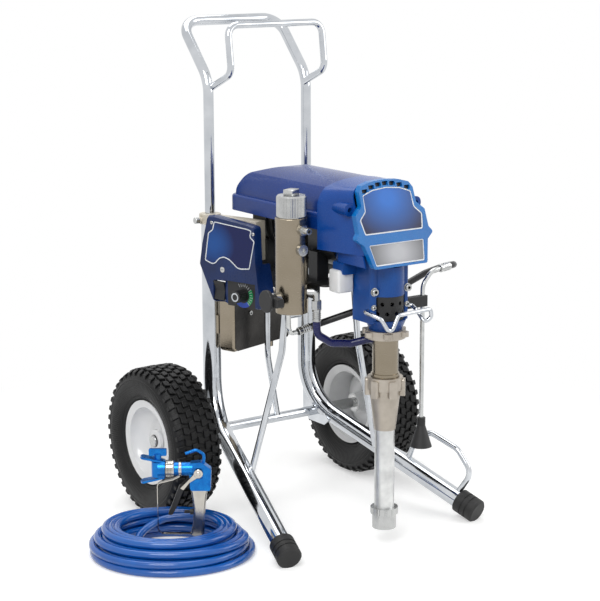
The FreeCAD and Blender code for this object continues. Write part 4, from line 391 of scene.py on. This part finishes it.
# further out the sweep runs into the plain white backdrop
spot = addNode(floorTree, "NewGeometry")
away = addNode(floorTree, "VectorMath", {"operation": "LENGTH"}, {0: spot.outputs["Position"]})
share = addNode(floorTree, "MapRange", {"From Min": studio["fadeFrom"], "From Max": studio["fadeTo"]},
                {"Value": away.outputs["Value"]})
share = addNode(floorTree, "Math", {"operation": "MULTIPLY"}, {0: share.outputs[0], 1: seen})
sweep = addNode(floorTree, "Emission", {"Color": white, "Strength": studio["backdrop"]})
whole = addNode(floorTree, "MixShader", links={0: share.outputs[0], 1: near.outputs[0], 2: sweep.outputs[0]})
addNode(floorTree, "OutputMaterial", links={"Surface": whole.outputs[0]})
floorShape = bmesh.new()
bmesh.ops.create_grid(floorShape, x_segments=2, y_segments=2, size=studio["floorHalf"])
floorMesh = bpy.data.meshes.new("studioFloor")
floorShape.to_mesh(floorMesh)
floorShape.free()
floorMesh.materials.append(floorMaterial)
floor = bpy.data.objects.new("studioFloor", floorMesh)
scene.collection.objects.link(floor)

world = bpy.data.worlds.new("studioWorld")
scene.world = world
world.use_nodes = True
worldTree = world.node_tree
worldTree.nodes.clear()
level = addNode(worldTree, "MapRange", {"To Min": studio["ambient"], "To Max": studio["backdrop"]},
                {"Value": addSeenRays(worldTree)})
sky = addNode(worldTree, "Background", {"Color": white}, {"Strength": level.outputs[0]})
addNode(worldTree, "OutputWorld", links={"Surface": sky.outputs[0]})

lamps = {  # place, size and power of each soft box, all turned to one spot
    "keyLight": {"place": (-1.9, -1.6, 2.6), "size": 1.6, "power": 52},
    "fillLight": {"place": (2.4, -2.0, 1.8), "size": 1.8, "power": 26},
    "topLight": {"place": (0.2, 0.8, 3.0), "size": 2.0, "power": 34},
}
for name, lamp in lamps.items():
    data = bpy.data.lights.new(name, "AREA")
    data.shape, data.size, data.energy = "SQUARE", lamp["size"], lamp["power"]
    light = bpy.data.objects.new(name, data)
    scene.collection.objects.link(light)
    light.location = lamp["place"]
    light.rotation_euler = (Vector(studio["aim"]) - light.location).to_track_quat("-Z", "Y").to_euler()
print("stage set")

scene.view_settings.view_transform = "Standard"

# ---- printed plates on the front frame, and the screens in its slots
frontFrame = {"topY": -416.0, "topZ": 754.0, "lean": 19.3, "plateFloor": 12.7, "border": 2.3,
              "shield": [(0, 743), (34, 740), (61, 731), (62, 700), (78, 686), (72, 656),
                         (-72, 656), (-78, 686), (-62, 700), (-61, 731), (-34, 740)],
              "strip": [(-69, 637.5), (69, 637.5), (61, 596), (-61, 596)],
              "plateLift": (0, -1.0, 0.3), "rounding": 4.0, "slots": 7, "slotPitch": 17.5, "slotTop": 750.5,
              "slotBend": 0.0042, "screenFloor": 7.0, "screenLift": (0, -1.2, 0),
              "screen": [(-6.9, -4.3), (6.9, -4.3), (6.9, 3.4), (-6.9, 3.4)]}
# an inset rim this wide ends each field, which lies lower by this share of the plate's rise
plateField = {"inset": 0.3, "sunk": -0.4}


def onFront(x, z, out):
    lean = math.tan(math.radians(frontFrame["lean"]))
    return Vector((x, frontFrame["topY"] - lean * (frontFrame["topZ"] - z) - out, z))


def addBorderedPlate(bm, corners, rise, border, rounding):
    # a thin plate with a raised rim: face 0 is the field, face 1 the rim
    face = bm.faces.new([bm.verts.new(corner) for corner in corners])
    bmesh.ops.bevel(bm, geom=list(face.verts), offset=rounding, segments=4, profile=0.5, affect="VERTICES",
                    material=-1)
    face = max(bm.faces, key=lambda f: f.calc_area())
    grown = bmesh.ops.extrude_face_region(bm, geom=[face], use_keep_orig=True)["geom"]
    bmesh.ops.translate(bm, vec=rise, verts=[part for part in grown if isinstance(part, bmesh.types.BMVert)])
    field = next(part for part in grown if isinstance(part, bmesh.types.BMFace))
    for other in bm.faces:
        other.material_index = 1
    bmesh.ops.inset_region(bm, faces=[field], thickness=border, use_even_offset=True)
    rim = bmesh.ops.inset_region(bm, faces=[field], thickness=plateField["inset"],
                                 use_even_offset=True)["faces"]
    bmesh.ops.translate(bm, vec=rise * plateField["sunk"], verts=field.verts)
    for part in rim:
        part.material_index = 1
    field.material_index = 0


# the first entry sets where along the fade the painted highlight reaches its lightest tone
lacquer = {"paintedHighlightAt": 0.85, "peelScale": 700.0, "peel": {"Strength": 0.5, "Distance": 0.00002},
           "Coat Weight": 0.1, "Specular IOR Level": 0.25}


def makePaintedHighlightPrint(name, look):
    # screen print under clear lacquer, with painted light on it: a painted highlight round one spot,
    # darkening towards the rim as painted shade
    material, tree, shader = startMaterial(name)
    place = addNode(tree, "TexCoord").outputs["Object"]
    centre, reach = toFrame @ Vector(look["centre"]), [size / 1000 for size in look["reach"]]
    spot = addNode(tree, "Mapping", {"Location": [-c / r for c, r in zip(centre, reach)],
                                     "Scale": [1 / r for r in reach]}, {"Vector": place})
    # spherical fade round the spot: painted highlight at the centre, painted shade towards the rim
    paintedHighlightFade = addNode(tree, "TexGradient", {"gradient_type": "SPHERICAL"}, {"Vector": spot.outputs[0]})
    tones = addRamp(tree, paintedHighlightFade.outputs["Fac"], look["dark"], look["light"], (0.0, lacquer["paintedHighlightAt"]))
    peel = addNode(tree, "TexNoise", {"Scale": lacquer["peelScale"], "Detail": 1.0}, {"Vector": place})
    relief = addNode(tree, "Bump", lacquer["peel"], {"Height": peel.outputs["Fac"]})
    tree.links.new(tones, shader.inputs["Base Color"])
    tree.links.new(relief.outputs[0], shader.inputs["Normal"])
    shader.inputs["Roughness"].default_value = look["rough"]
    shader.inputs["Metallic"].default_value = look["metal"]
    for socket in ("Coat Weight", "Specular IOR Level"):
        shader.inputs[socket].default_value = lacquer[socket]
    return material


# the print colours are real; each one's fade from light centre to dark rim is a painted highlight and painted
# shade
bluePrintPaintedHighlight = makePaintedHighlightPrint("bluePrintPaintedHighlight", {"centre": (0, -440, 722), "reach": (95, 300, 80), "dark": "#050b3c",
                                   "light": "#1a6cc8", "rough": 0.22, "metal": 0.0})
silverPrintPaintedHighlight = makePaintedHighlightPrint("silverPrintPaintedHighlight", {"centre": (0, -470, 617), "reach": (88, 300, 70), "dark": "#2f3034",
                                       "light": "#a4a5a9", "rough": 0.25, "metal": 0.2})
labelPrintPaintedHighlight = makePaintedHighlightPrint("labelPrintPaintedHighlight", {"centre": (-215, -65, 590), "reach": (80, 80, 70), "dark": "#061650",
                                     "light": "#2478d6", "rough": 0.22, "metal": 0.0})
finishes["whiteInk"] = {"dark": "#d5dade", "light": "#eceff1", "drift": 20, "grain": 2.0, "depth": 0.01,
                        "rough": (0.25, 0.35)}
finish["whiteInk"] = makeFinish("whiteInk", finishes["whiteInk"])  # silkscreened rim, a little silver

for name, outline, printed in (("shieldPlate", "shield", bluePrintPaintedHighlight), ("stripPlate", "strip", silverPrintPaintedHighlight)):
    bm = bmesh.new()
    corners = [onFront(x, z, frontFrame["plateFloor"]) for x, z in frontFrame[outline]]
    addBorderedPlate(bm, corners, Vector(frontFrame["plateLift"]), frontFrame["border"],
                     frontFrame["rounding"])
    toPiece(bm, name, "cart", [printed, finish["whiteInk"]])
bm = bmesh.new()
for k in range(frontFrame["slots"]):
    x = (k - (frontFrame["slots"] - 1) / 2) * frontFrame["slotPitch"]
    z = frontFrame["slotTop"] - frontFrame["slotBend"] * x * x
    corners = [onFront(x + a, z + b, frontFrame["screenFloor"]) for a, b in frontFrame["screen"]]
    addPlate(bm, corners, Vector(frontFrame["screenLift"]))
toPiece(bm, "slotScreens", "cart", [finish["blackNylon"]])
print("front plates done")

# ---- control box: label, screws, switch panel, pressure scale
controlBox = {"turn": 17.0, "rail": (-127.0, 21.0), "face": 55.0, "panel": 49.0, "knob": (133.0, 486.0),
              "label": [(59, 638), (150, 631), (162, 628), (158.5, 615), (170, 606), (162, 572),
                        (156, 545), (131, 542), (121, 544), (112, 551), (100, 559), (86, 563), (73, 559),
                        (61, 547), (52, 545), (32, 551), (42, 612), (54, 620)],
              "labelFloor": 54.9, "labelRise": 1.0, "border": 2.0, "rounding": 3.0,
              "screws": [(80.7, 536.0, 6.0), (52.0, 634.5, 3.8), (166.0, 621.0, 3.8)],  # ahead, up, radius
              "screwSeat": 0.2, "screwHead": (1.0, 1.8, 2.0),
              "slotFloor": 1.75, "slotHalf": 0.7, "slotRise": 0.15,
              "panelShape": [(91, 460), (168, 460), (168, 513), (91, 513)], "panelRise": 0.7}


def onBox(out, ahead, z):
    turn = math.radians(controlBox["turn"])
    x, y = -out, -ahead
    return Vector((controlBox["rail"][0] + x * math.cos(turn) - y * math.sin(turn),
                   controlBox["rail"][1] + x * math.sin(turn) + y * math.cos(turn), z))


boxOut = onBox(1, 0, 0) - onBox(0, 0, 0)
boxAhead = onBox(0, 1, 0) - onBox(0, 0, 0)
bm = bmesh.new()
corners = [onBox(controlBox["labelFloor"], ahead, z) for ahead, z in controlBox["label"]]
addBorderedPlate(bm, corners, boxOut * controlBox["labelRise"], controlBox["border"], controlBox["rounding"])
toPiece(bm, "controlLabel", "cart", [labelPrintPaintedHighlight, finish["whiteInk"]])

bm = bmesh.new()
side, crown, top = controlBox["screwHead"]
for ahead, z, radius in controlBox["screws"]:
    seat = onBox(controlBox["face"] - controlBox["screwSeat"], ahead, z)
    head = [(0, radius), (side, radius), (crown, radius * 0.75), (top, nearAxis)]
    addSpin(bm, head, seat, boxOut, axisZ, steps=28)
    half = radius * controlBox["slotHalf"]
    slot = [onBox(controlBox["face"] + controlBox["slotFloor"], ahead + a, z + b)
            for a, b in ((-half, -1.1), (half, 0.1), (half, 1.1), (-half, -0.1))]
    addPlate(bm, slot, boxOut * controlBox["slotRise"], index=1)
toPiece(bm, "controlScrews", "cart", [finish["zincSteel"], finish["blackNylon"]], sharp=40)

# pressure scale printed round the knob: two coloured arcs and a row of plain ticks
dial = {"lift": 0.75, "arcs": {"greenInk": (32, 118), "blueInk": (-52, 32)}, "arcFrom": 16.5, "arcTo": 27.0,
        "arcSteps": 14, "ticks": 13, "firstTick": -50, "tickPitch": 14, "tickHalf": 0.35, "tickFrom": 18.5,
        "tickTo": 25, "longTickTo": 26.5, "longEvery": 3, "tickRise": 0.1}
bm = bmesh.new()
face = controlBox["panel"] + 0.1
addPlate(bm, [onBox(face, a, z) for a, z in controlBox["panelShape"]], boxOut * controlBox["panelRise"])
knobAt = onBox(face + dial["lift"], *controlBox["knob"])
for index, (low, high) in enumerate(dial["arcs"].values(), start=1):
    start = math.radians(low)
    arm = boxAhead * math.cos(start) + axisZ * math.sin(start)
    before = set(bm.faces)
    ends = [bm.verts.new(knobAt + arm * dial["arcFrom"]), bm.verts.new(knobAt + arm * dial["arcTo"])]
    edge = bm.edges.new(ends)
    bmesh.ops.spin(bm, geom=ends + [edge], cent=knobAt, axis=boxOut, angle=math.radians(high - low) * -1,
                   steps=dial["arcSteps"], use_duplicate=False)
    for part in set(bm.faces) - before:
        part.material_index = index
rise = boxOut * dial["tickRise"]
for k in range(dial["ticks"]):
    angle = math.radians(dial["firstTick"] + dial["tickPitch"] * k)
    arm = boxAhead * math.cos(angle) + axisZ * math.sin(angle)
    aside = arm.cross(boxOut) * dial["tickHalf"]
    near, far = dial["tickFrom"], dial["tickTo"] if k % dial["longEvery"] else dial["longTickTo"]
    tick = [knobAt + arm * near - aside + rise, knobAt + arm * far - aside + rise,
            knobAt + arm * far + aside + rise, knobAt + arm * near + aside + rise]
    addPlate(bm, tick, rise, index=3)
inks = {"greenInk": {"dark": "#0d7a45", "light": "#169150"},
        "blueInk": {"dark": "#1238a0", "light": "#1b4fc4"}}
for name, tone in inks.items():
    finishes[name] = {**tone, "drift": 20, "grain": 2.0, "depth": 0.005, "rough": (0.25, 0.35)}
    finish[name] = makeFinish(name, finishes[name])
toPiece(bm, "switchPanel", "cart", [finish["blackNylon"], finish["greenInk"], finish["blueInk"],
                                    finish["whiteInk"]])

knobCap = {"out": 27.75, "profile": [(0, 9.8), (0.7, 9.4), (0.8, 7.0), (0.3, 6.0), (0.3, nearAxis)]}
bm = bmesh.new()
knobEnd = onBox(controlBox["panel"] + knobCap["out"], *controlBox["knob"])
addSpin(bm, knobCap["profile"], knobEnd, boxOut, axisZ, steps=36)
toPiece(bm, "knobFace", "knob", [finish["chromePlate"]], sharp=40)

# ---- electronics case: dark front panel with two small sockets
case = {"face": -71.0, "panel": [(-4, 352), (4, 345), (176, 345), (184, 352), (184, 456), (-4, 456)],
        "lift": 0.02, "rise": 0.8, "sockets": [(46, 444), (47, 423)],
        "socket": [(0, 5.2), (2.4, 5.0), (2.4, 3.2), (0.8, 3.0), (0.8, nearAxis)]}


def onCase(along, z, out):
    # the case's broad face looks ahead, its edge runs outward
    turn = math.radians(controlBox["turn"])
    y = case["face"] - out
    return Vector((controlBox["rail"][0] + along * math.cos(turn) - y * math.sin(turn),
                   controlBox["rail"][1] + along * math.sin(turn) + y * math.cos(turn), z))


caseOut = onCase(0, 0, 1) - onCase(0, 0, 0)
bm = bmesh.new()
addPlate(bm, [onCase(along, z, case["lift"]) for along, z in case["panel"]], caseOut * case["rise"])
for along, z in case["sockets"]:
    addSpin(bm, case["socket"], onCase(along, z, case["rise"]), caseOut, axisZ, steps=24, index=1)
finishes["slateAnodised"] = {"dark": "#2f2e2d", "light": "#454341", "drift": 70, "grain": 1.5, "depth": 0.02,
                             "rough": (0.26, 0.38), "Metallic": 0.8, "stretch": (1, 1, 0.1)}
finish["slateAnodised"] = makeFinish("slateAnodised", finishes["slateAnodised"])  # dark dyed sheet
toPiece(bm, "caseFront", "cart", [finish["slateAnodised"], finish["zincSteel"]])
print("control box done")

# ---- filter cap: knurled, with a milled key on top
filterCap = {"middle": (-138.0, -305.0), "low": 679.3, "high": 723.3, "radius": 30.6,
             "ridges": 56, "ridge": 1.1, "lip": 2, "crown": 3, "taper": 2.5,
             "key": (29, 22, 12.2), "keyMiddle": 5.9, "keyTurn": 25, "keyRound": 1.8}
bm = bmesh.new()
x, y = filterCap["middle"]
low, high, radius = filterCap["low"], filterCap["high"], filterCap["radius"]
knurlLow, knurlHigh, neck = low + filterCap["lip"], high - filterCap["crown"], radius - filterCap["lip"]
crown = radius - filterCap["taper"]
for start, end, r0, r1 in ((low, knurlLow, neck, neck), (knurlHigh, high, radius, crown)):
    addRod(bm, Vector((x, y, start)), Vector((x, y, end)), r0, r1, segments=84)
knurl = addRod(bm, Vector((x, y, knurlLow)), Vector((x, y, knurlHigh)), radius,
               segments=2 * filterCap["ridges"])
for vert in knurl:
    arm = Vector((vert.co.x - x, vert.co.y - y, 0))
    step = round(math.atan2(arm.y, arm.x) / (math.pi / filterCap["ridges"]))
    vert.co -= arm.normalized() * filterCap["ridge"] * (step % 2)
keyPlace = (Matrix.Translation((x, y, high + filterCap["keyMiddle"]))
            @ Matrix.Rotation(math.radians(filterCap["keyTurn"]), 4, "Z")
            @ Matrix.Diagonal((*filterCap["key"], 1)))
key = bmesh.ops.create_cube(bm, size=1.0, matrix=keyPlace)
edges = list({edge for vert in key["verts"] for edge in vert.link_edges})
bmesh.ops.bevel(bm, geom=edges, offset=filterCap["keyRound"], segments=2, profile=0.5, affect="EDGES",
                material=-1)
toPiece(bm, "filterCapTurned", "cart", [finish["zincSteel"]], replaces=["filter_cap"],
        sharp=25)

# ---- crimped ferrules on the hose ends
ferrule = {"radius": 9.2, "ribs": 4, "depth": 1.0, "bore": 5.5, "firstRib": 0.3, "ribPitch": 0.16,
           "ribHalf": 2.0, "ribFloor": 0.8}
ferrules = [(Vector((-102.0, -341.0, 492.0)), Vector((-102.0, -341.0, 466.0)), 1.0),
            (Vector((-113.0, -291.1, 436.2)), Vector((-84.0, -293.6, 443.1)), 0.95),
            (Vector((139.0, -437.0, 563.0)), Vector((166.0, -435.4, 565.4)), 0.95)]
bm = bmesh.new()
for start, end, scale in ferrules:
    length, along = (end - start).length, (end - start).normalized()
    across = along.orthogonal().normalized()
    body = ferrule["radius"] * scale
    half, flat, waist = ferrule["ribHalf"], ferrule["ribFloor"], body - ferrule["depth"]
    profile = [(0, ferrule["bore"]), (0, body - 1), (1.5, body)]
    for k in range(ferrule["ribs"]):
        middle = length * (ferrule["firstRib"] + ferrule["ribPitch"] * k)
        profile += [(middle - half, body), (middle - flat, waist),
                    (middle + flat, waist), (middle + half, body)]
    profile += [(length - 1, body), (length, body - 0.8), (length, ferrule["bore"])]
    addSpin(bm, profile, start, along, across, steps=32)
toPiece(bm, "hoseFerrules", "cart", [finish["zincSteel"]])

# ---- socket-head screws on the drive housing
socketScrew = {"radius": 7.0, "head": 6.5, "socket": 3.4, "washer": (0.8, 1.5), "round": 0.6, "large": 2,
               "smaller": 0.62, "places": [(-41.3, -453.0, 538.0), (42.5, -453.0, 538.0),
                                           (-42.5, -453.0, 506.0), (41.5, -453.0, 504.0)]}
bm = bmesh.new()
for k, place in enumerate(socketScrew["places"]):
    size = 1.0 if k < socketScrew["large"] else socketScrew["smaller"]
    r, h, s = (socketScrew[part] * size for part in ("radius", "head", "socket"))
    (thick, wide), edge = socketScrew["washer"], socketScrew["round"]
    head = [(0, r + wide), (thick, r + wide), (thick, r), (h - edge, r), (h, r - edge), (h, s)]
    addSpin(bm, head, Vector(place), -axisY, axisZ, steps=32)
    addSpin(bm, [(h, s), (h * 0.4, s), (h * 0.4, nearAxis)], Vector(place), -axisY, axisZ, steps=6, index=1)
toPiece(bm, "housingScrews", "cart", [finish["zincSteel"], finish["blackNylon"]])

# ---- pale end plate of the gear case, seen beside the housing
endPlate = {"low": (-88, -398, 530), "high": (-50, -362, 577), "round": 5.0}
bm = bmesh.new()
low, high = Vector(endPlate["low"]), Vector(endPlate["high"])
bmesh.ops.create_cube(bm, size=1.0, matrix=Matrix.Translation((low + high) / 2)
                      @ Matrix.Diagonal((*(high - low), 1)))
bmesh.ops.bevel(bm, geom=list(bm.edges), offset=endPlate["round"], segments=3, profile=0.5, affect="EDGES",
                material=-1)
toPiece(bm, "gearEndPlate", "cart", [finish["whiteEnamel"]])
print("fittings done")

# ---- bright parts of the spray gun: knurled sleeve and seat ring on the barrel, the trigger's hubs and arms
gun = {"origin": (-340.0, -256.0, 38.0), "turn": 145.15, "barrel": 138.0,
       "sleeveAt": 45.2, "grooves": 4, "groovePitch": 3.4,
       "sleeveStart": [(0, 15.3), (0, 17.6), (1.5, 18.6)],
       "groove": [(3.0, 18.6), (3.8, 17.4), (5.2, 17.4), (6.0, 18.6)],
       "sleeveEnd": [(16.8, 18.4), (17.6, 17.2), (17.6, 15.3)],
       "ringAt": 30, "ring": [(0, 12.4), (0, 14.4), (1, 15), (5, 15), (6, 14.4), (6, 12.4)],
       "hubAt": (-4, 12.3, -7),
       "hub": [(0, 9.4), (1.6, 9.2), (2.2, 8.4), (2.2, 4.6), (3.6, 4.2), (4.2, 3.4), (4.2, nearAxis)],
       "armAside": 12.35, "armThick": 1.0,
       "arm": [(-9, 134), (2, 133.2), (19, 114.5), (33, 100.6), (26.5, 97), (14.5, 112), (-5, 124.5)]}


def onGun(ahead, aside, up):
    turn = math.radians(gun["turn"])
    return Vector((gun["origin"][0] + ahead * math.cos(turn) - aside * math.sin(turn),
                   gun["origin"][1] + ahead * math.sin(turn) + aside * math.cos(turn), gun["origin"][2] + up))


gunAhead, gunAside = onGun(1, 0, 0) - onGun(0, 0, 0), onGun(0, 1, 0) - onGun(0, 0, 0)
sleeve = list(gun["sleeveStart"])
for k in range(gun["grooves"]):
    sleeve += [(along + gun["groovePitch"] * k, out) for along, out in gun["groove"]]
sleeve += gun["sleeveEnd"]
bm = bmesh.new()
addSpin(bm, sleeve, onGun(gun["sleeveAt"], 0, gun["barrel"]), gunAhead, axisZ, steps=48)
addSpin(bm, gun["ring"], onGun(gun["ringAt"], 0, gun["barrel"]), gunAhead, axisZ, steps=40)
toPiece(bm, "gunSleeve", "cart", [finish["brushedAluminium"]], sharp=35)

bm = bmesh.new()
ahead, aside, below = gun["hubAt"]
for side in (-1, 1):
    seat = onGun(ahead, side * aside, gun["barrel"] + below)
    addSpin(bm, gun["hub"], seat, gunAside * side, axisZ, steps=32)
for side in (-1, 1):
    corners = [onGun(along, side * gun["armAside"], up) for along, up in gun["arm"]]
    addPlate(bm, corners[::-side], gunAside * side * gun["armThick"])
toPiece(bm, "triggerHubs", "trigger", [finish["brushedAluminium"]], sharp=35)
print("gun done")

# ---- turf tyres: a ribbed carcass with rows of blocks
turfTyre = {"radius": 163.0, "track": 534.0, "lugsRound": 42, "rowPitch": 15.4, "lugWidth": 12.8,
            "lugLength": 15.5, "lugHeight": 14, "lugTop": 162.3, "lugRound": 1.1, "crown": 0.35,
            # the outermost rows: number, how much lower, share of the length, where and how far they dip
            "edgeRow": 3, "edgeDrop": 2.2, "edgeLength": 0.72, "edgeFrom": 45, "edgeDip": 6.5,
            "skew": 0.22, "steps": 90, "middle": (0, 157.9),
            "wall": [(27.7, 78.3), (36.7, 78.3), (36.7, 92.3), (40, 94.5), (44, 97), (45.5, 99.5),
                     (45.0, 101.5), (48.5, 104.5), (52, 110), (54.5, 117), (56, 126), (55.6, 134),
                     (54.4, 137.5), (55.0, 139.5), (54.0, 141.5), (52, 146), (48.5, 150.5), (42, 154),
                     (30, 156.5), (15, 157.6)]}


def makeTyre(side, name, body, node):
    bm = bmesh.new()
    hub = Vector((side * turfTyre["track"] / 2, 0, turfTyre["radius"]))
    wall = turfTyre["wall"]
    profile = wall + [turfTyre["middle"]] + [(-u, r) for u, r in reversed(wall)] + [wall[0]]
    addSpin(bm, profile, hub, axisX, axisZ, steps=turfTyre["steps"])
    lugs = []
    pitch = 2 * math.pi / turfTyre["lugsRound"]
    edgeRow, height = turfTyre["edgeRow"], turfTyre["lugHeight"]
    for row in range(-edgeRow, edgeRow + 1):
        edge = abs(row) == edgeRow
        across = row * turfTyre["rowPitch"]
        top = turfTyre["lugTop"] - (turfTyre["edgeDrop"] if edge else turfTyre["crown"] * abs(row))
        length = turfTyre["lugLength"] * (turfTyre["edgeLength"] if edge else 1)
        for k in range(turfTyre["lugsRound"]):
            turn = (k + 0.5 * (row % 2)) * pitch
            shape = Matrix.Diagonal((turfTyre["lugWidth"], length, height, 1))
            shape[1][0] = (1 if row % 2 else -1) * turfTyre["skew"] * turfTyre["lugWidth"]
            place = (Matrix.Translation(hub) @ Matrix.Rotation(turn, 4, "X")
                     @ Matrix.Translation((across, 0, top - height / 2)))
            lug = bmesh.ops.create_cube(bm, size=1.0, matrix=place @ shape)["verts"]
            for vert in lug:
                away = vert.co - hub
                if edge and away.x * row > turfTyre["edgeFrom"] * abs(row):
                    vert.co -= Vector((0, away.y, away.z)).normalized() * turfTyre["edgeDip"]
            lugs += lug
    edges = list({e for vert in lugs for e in vert.link_edges})
    bmesh.ops.bevel(bm, geom=edges, offset=turfTyre["lugRound"], segments=1, profile=0.5, affect="EDGES",
                    material=-1)
    toPiece(bm, name, body, [finish["turfRubber"]], replaces=[node], sharp=28)


turfRubber = {"spokes": 150, "bandStops": [(0.104, 0), (0.108, 1), (0.132, 1), (0.136, 0)], "spokeShare": 0.5,
              "skin": {"Scale": 650.0, "Detail": 3.0}, "dust": {"Scale": 28.0, "Detail": 4.0},
              "relief": {"Strength": 0.8, "Distance": 0.0006}, "rough": {"To Min": 0.36, "To Max": 0.58},
              "dark": "#050506", "light": "#0d0d0e", "Specular IOR Level": 0.3}


def makeTurfRubber():
    # natural rubber with carbon black: fine spokes moulded round the sidewall, dusty matt skin
    material, tree, shader = startMaterial("turfRubber")
    place = addNode(tree, "TexCoord").outputs["Object"]
    hub = toFrame @ Vector((0, 0, turfTyre["radius"]))
    centred = addNode(tree, "Mapping", {"Location": -hub}, {"Vector": place})
    parts = addNode(tree, "SeparateXYZ", links={0: centred.outputs[0]})
    wheel = addNode(tree, "CombineXYZ", links={"X": parts.outputs["Y"], "Y": parts.outputs["Z"]})
    about = addNode(tree, "TexGradient", {"gradient_type": "RADIAL"}, {"Vector": wheel.outputs[0]})
    spokes = addNode(tree, "Math", {"operation": "MULTIPLY", 1: turfRubber["spokes"] * 2 * math.pi},
                     {0: about.outputs["Fac"]})
    spokes = addNode(tree, "Math", {"operation": "SINE"}, {0: spokes.outputs[0]})
    out = addNode(tree, "VectorMath", {"operation": "LENGTH"}, {0: wheel.outputs[0]})
    band = addNode(tree, "ValToRGB", links={"Fac": out.outputs["Value"]})
    stops = band.color_ramp.elements
    for k, (at, tone) in enumerate(turfRubber["bandStops"]):
        stop = stops[k] if k < 2 else stops.new(at)
        stop.position, stop.color = at, (tone, tone, tone, 1)
    ribs = addNode(tree, "Math", {"operation": "MULTIPLY"}, {0: spokes.outputs[0], 1: band.outputs[0]})
    grain = addNode(tree, "TexNoise", turfRubber["skin"], {"Vector": place})
    height = addNode(tree, "Math", {"operation": "MULTIPLY_ADD", 1: turfRubber["spokeShare"]},
                     {0: ribs.outputs[0], 2: grain.outputs["Fac"]})
    relief = addNode(tree, "Bump", turfRubber["relief"], {"Height": height.outputs[0]})
    dust = addNode(tree, "TexNoise", turfRubber["dust"], {"Vector": place})
    tones = addRamp(tree, dust.outputs["Fac"], turfRubber["dark"], turfRubber["light"])
    rough = addNode(tree, "MapRange", turfRubber["rough"], {"Value": grain.outputs["Fac"]})
    tree.links.new(tones, shader.inputs["Base Color"])
    tree.links.new(rough.outputs[0], shader.inputs["Roughness"])
    tree.links.new(relief.outputs[0], shader.inputs["Normal"])
    shader.inputs["Specular IOR Level"].default_value = turfRubber["Specular IOR Level"]
    return material


finish["turfRubber"] = makeTurfRubber()
makeTyre(-1, "turfTyreLeft", "wheel_left", "tyre_left")
makeTyre(1, "turfTyreRight", "wheel_right", "tyre_right")

# ---- dark dust caps over the hubs, and the valve stems
hubCap = {"out": 15, "collar": [(0, 24.5), (6.6, 24.0), (7.3, 22.6), (7.3, 13.6)],
          "cap": [(7.3, 13.6), (9.4, 13.2), (10.0, 12.2), (10.0, 8.6)],
          "valveTurn": 218.0, "valveRadius": 58, "valveOut": 4,
          "valve": [(-8, 4.6), (2, 4.2), (14, 3.4), (15, 2.6), (22, 2.6), (22.6, 2.0), (22.6, nearAxis)]}
for side, name, body in ((-1, "Left", "wheel_left"), (1, "Right", "wheel_right")):
    outward = axisX * side
    outer = Vector((side * (turfTyre["track"] / 2 + hubCap["out"]), 0, turfTyre["radius"]))
    bm = bmesh.new()
    addSpin(bm, hubCap["collar"], outer, outward, axisZ, steps=48, index=1)
    addSpin(bm, hubCap["cap"], outer, outward, axisZ, steps=48)
    turn = math.radians(hubCap["valveTurn"])
    reach = hubCap["valveRadius"]
    foot = outer + Vector((side * hubCap["valveOut"], reach * math.cos(turn), reach * math.sin(turn)))
    addSpin(bm, hubCap["valve"], foot, outward, axisZ, steps=20)
    toPiece(bm, "hubCap" + name, body, [finish["blackRubber"], finish["whiteEnamel"]])
print("wheels done")
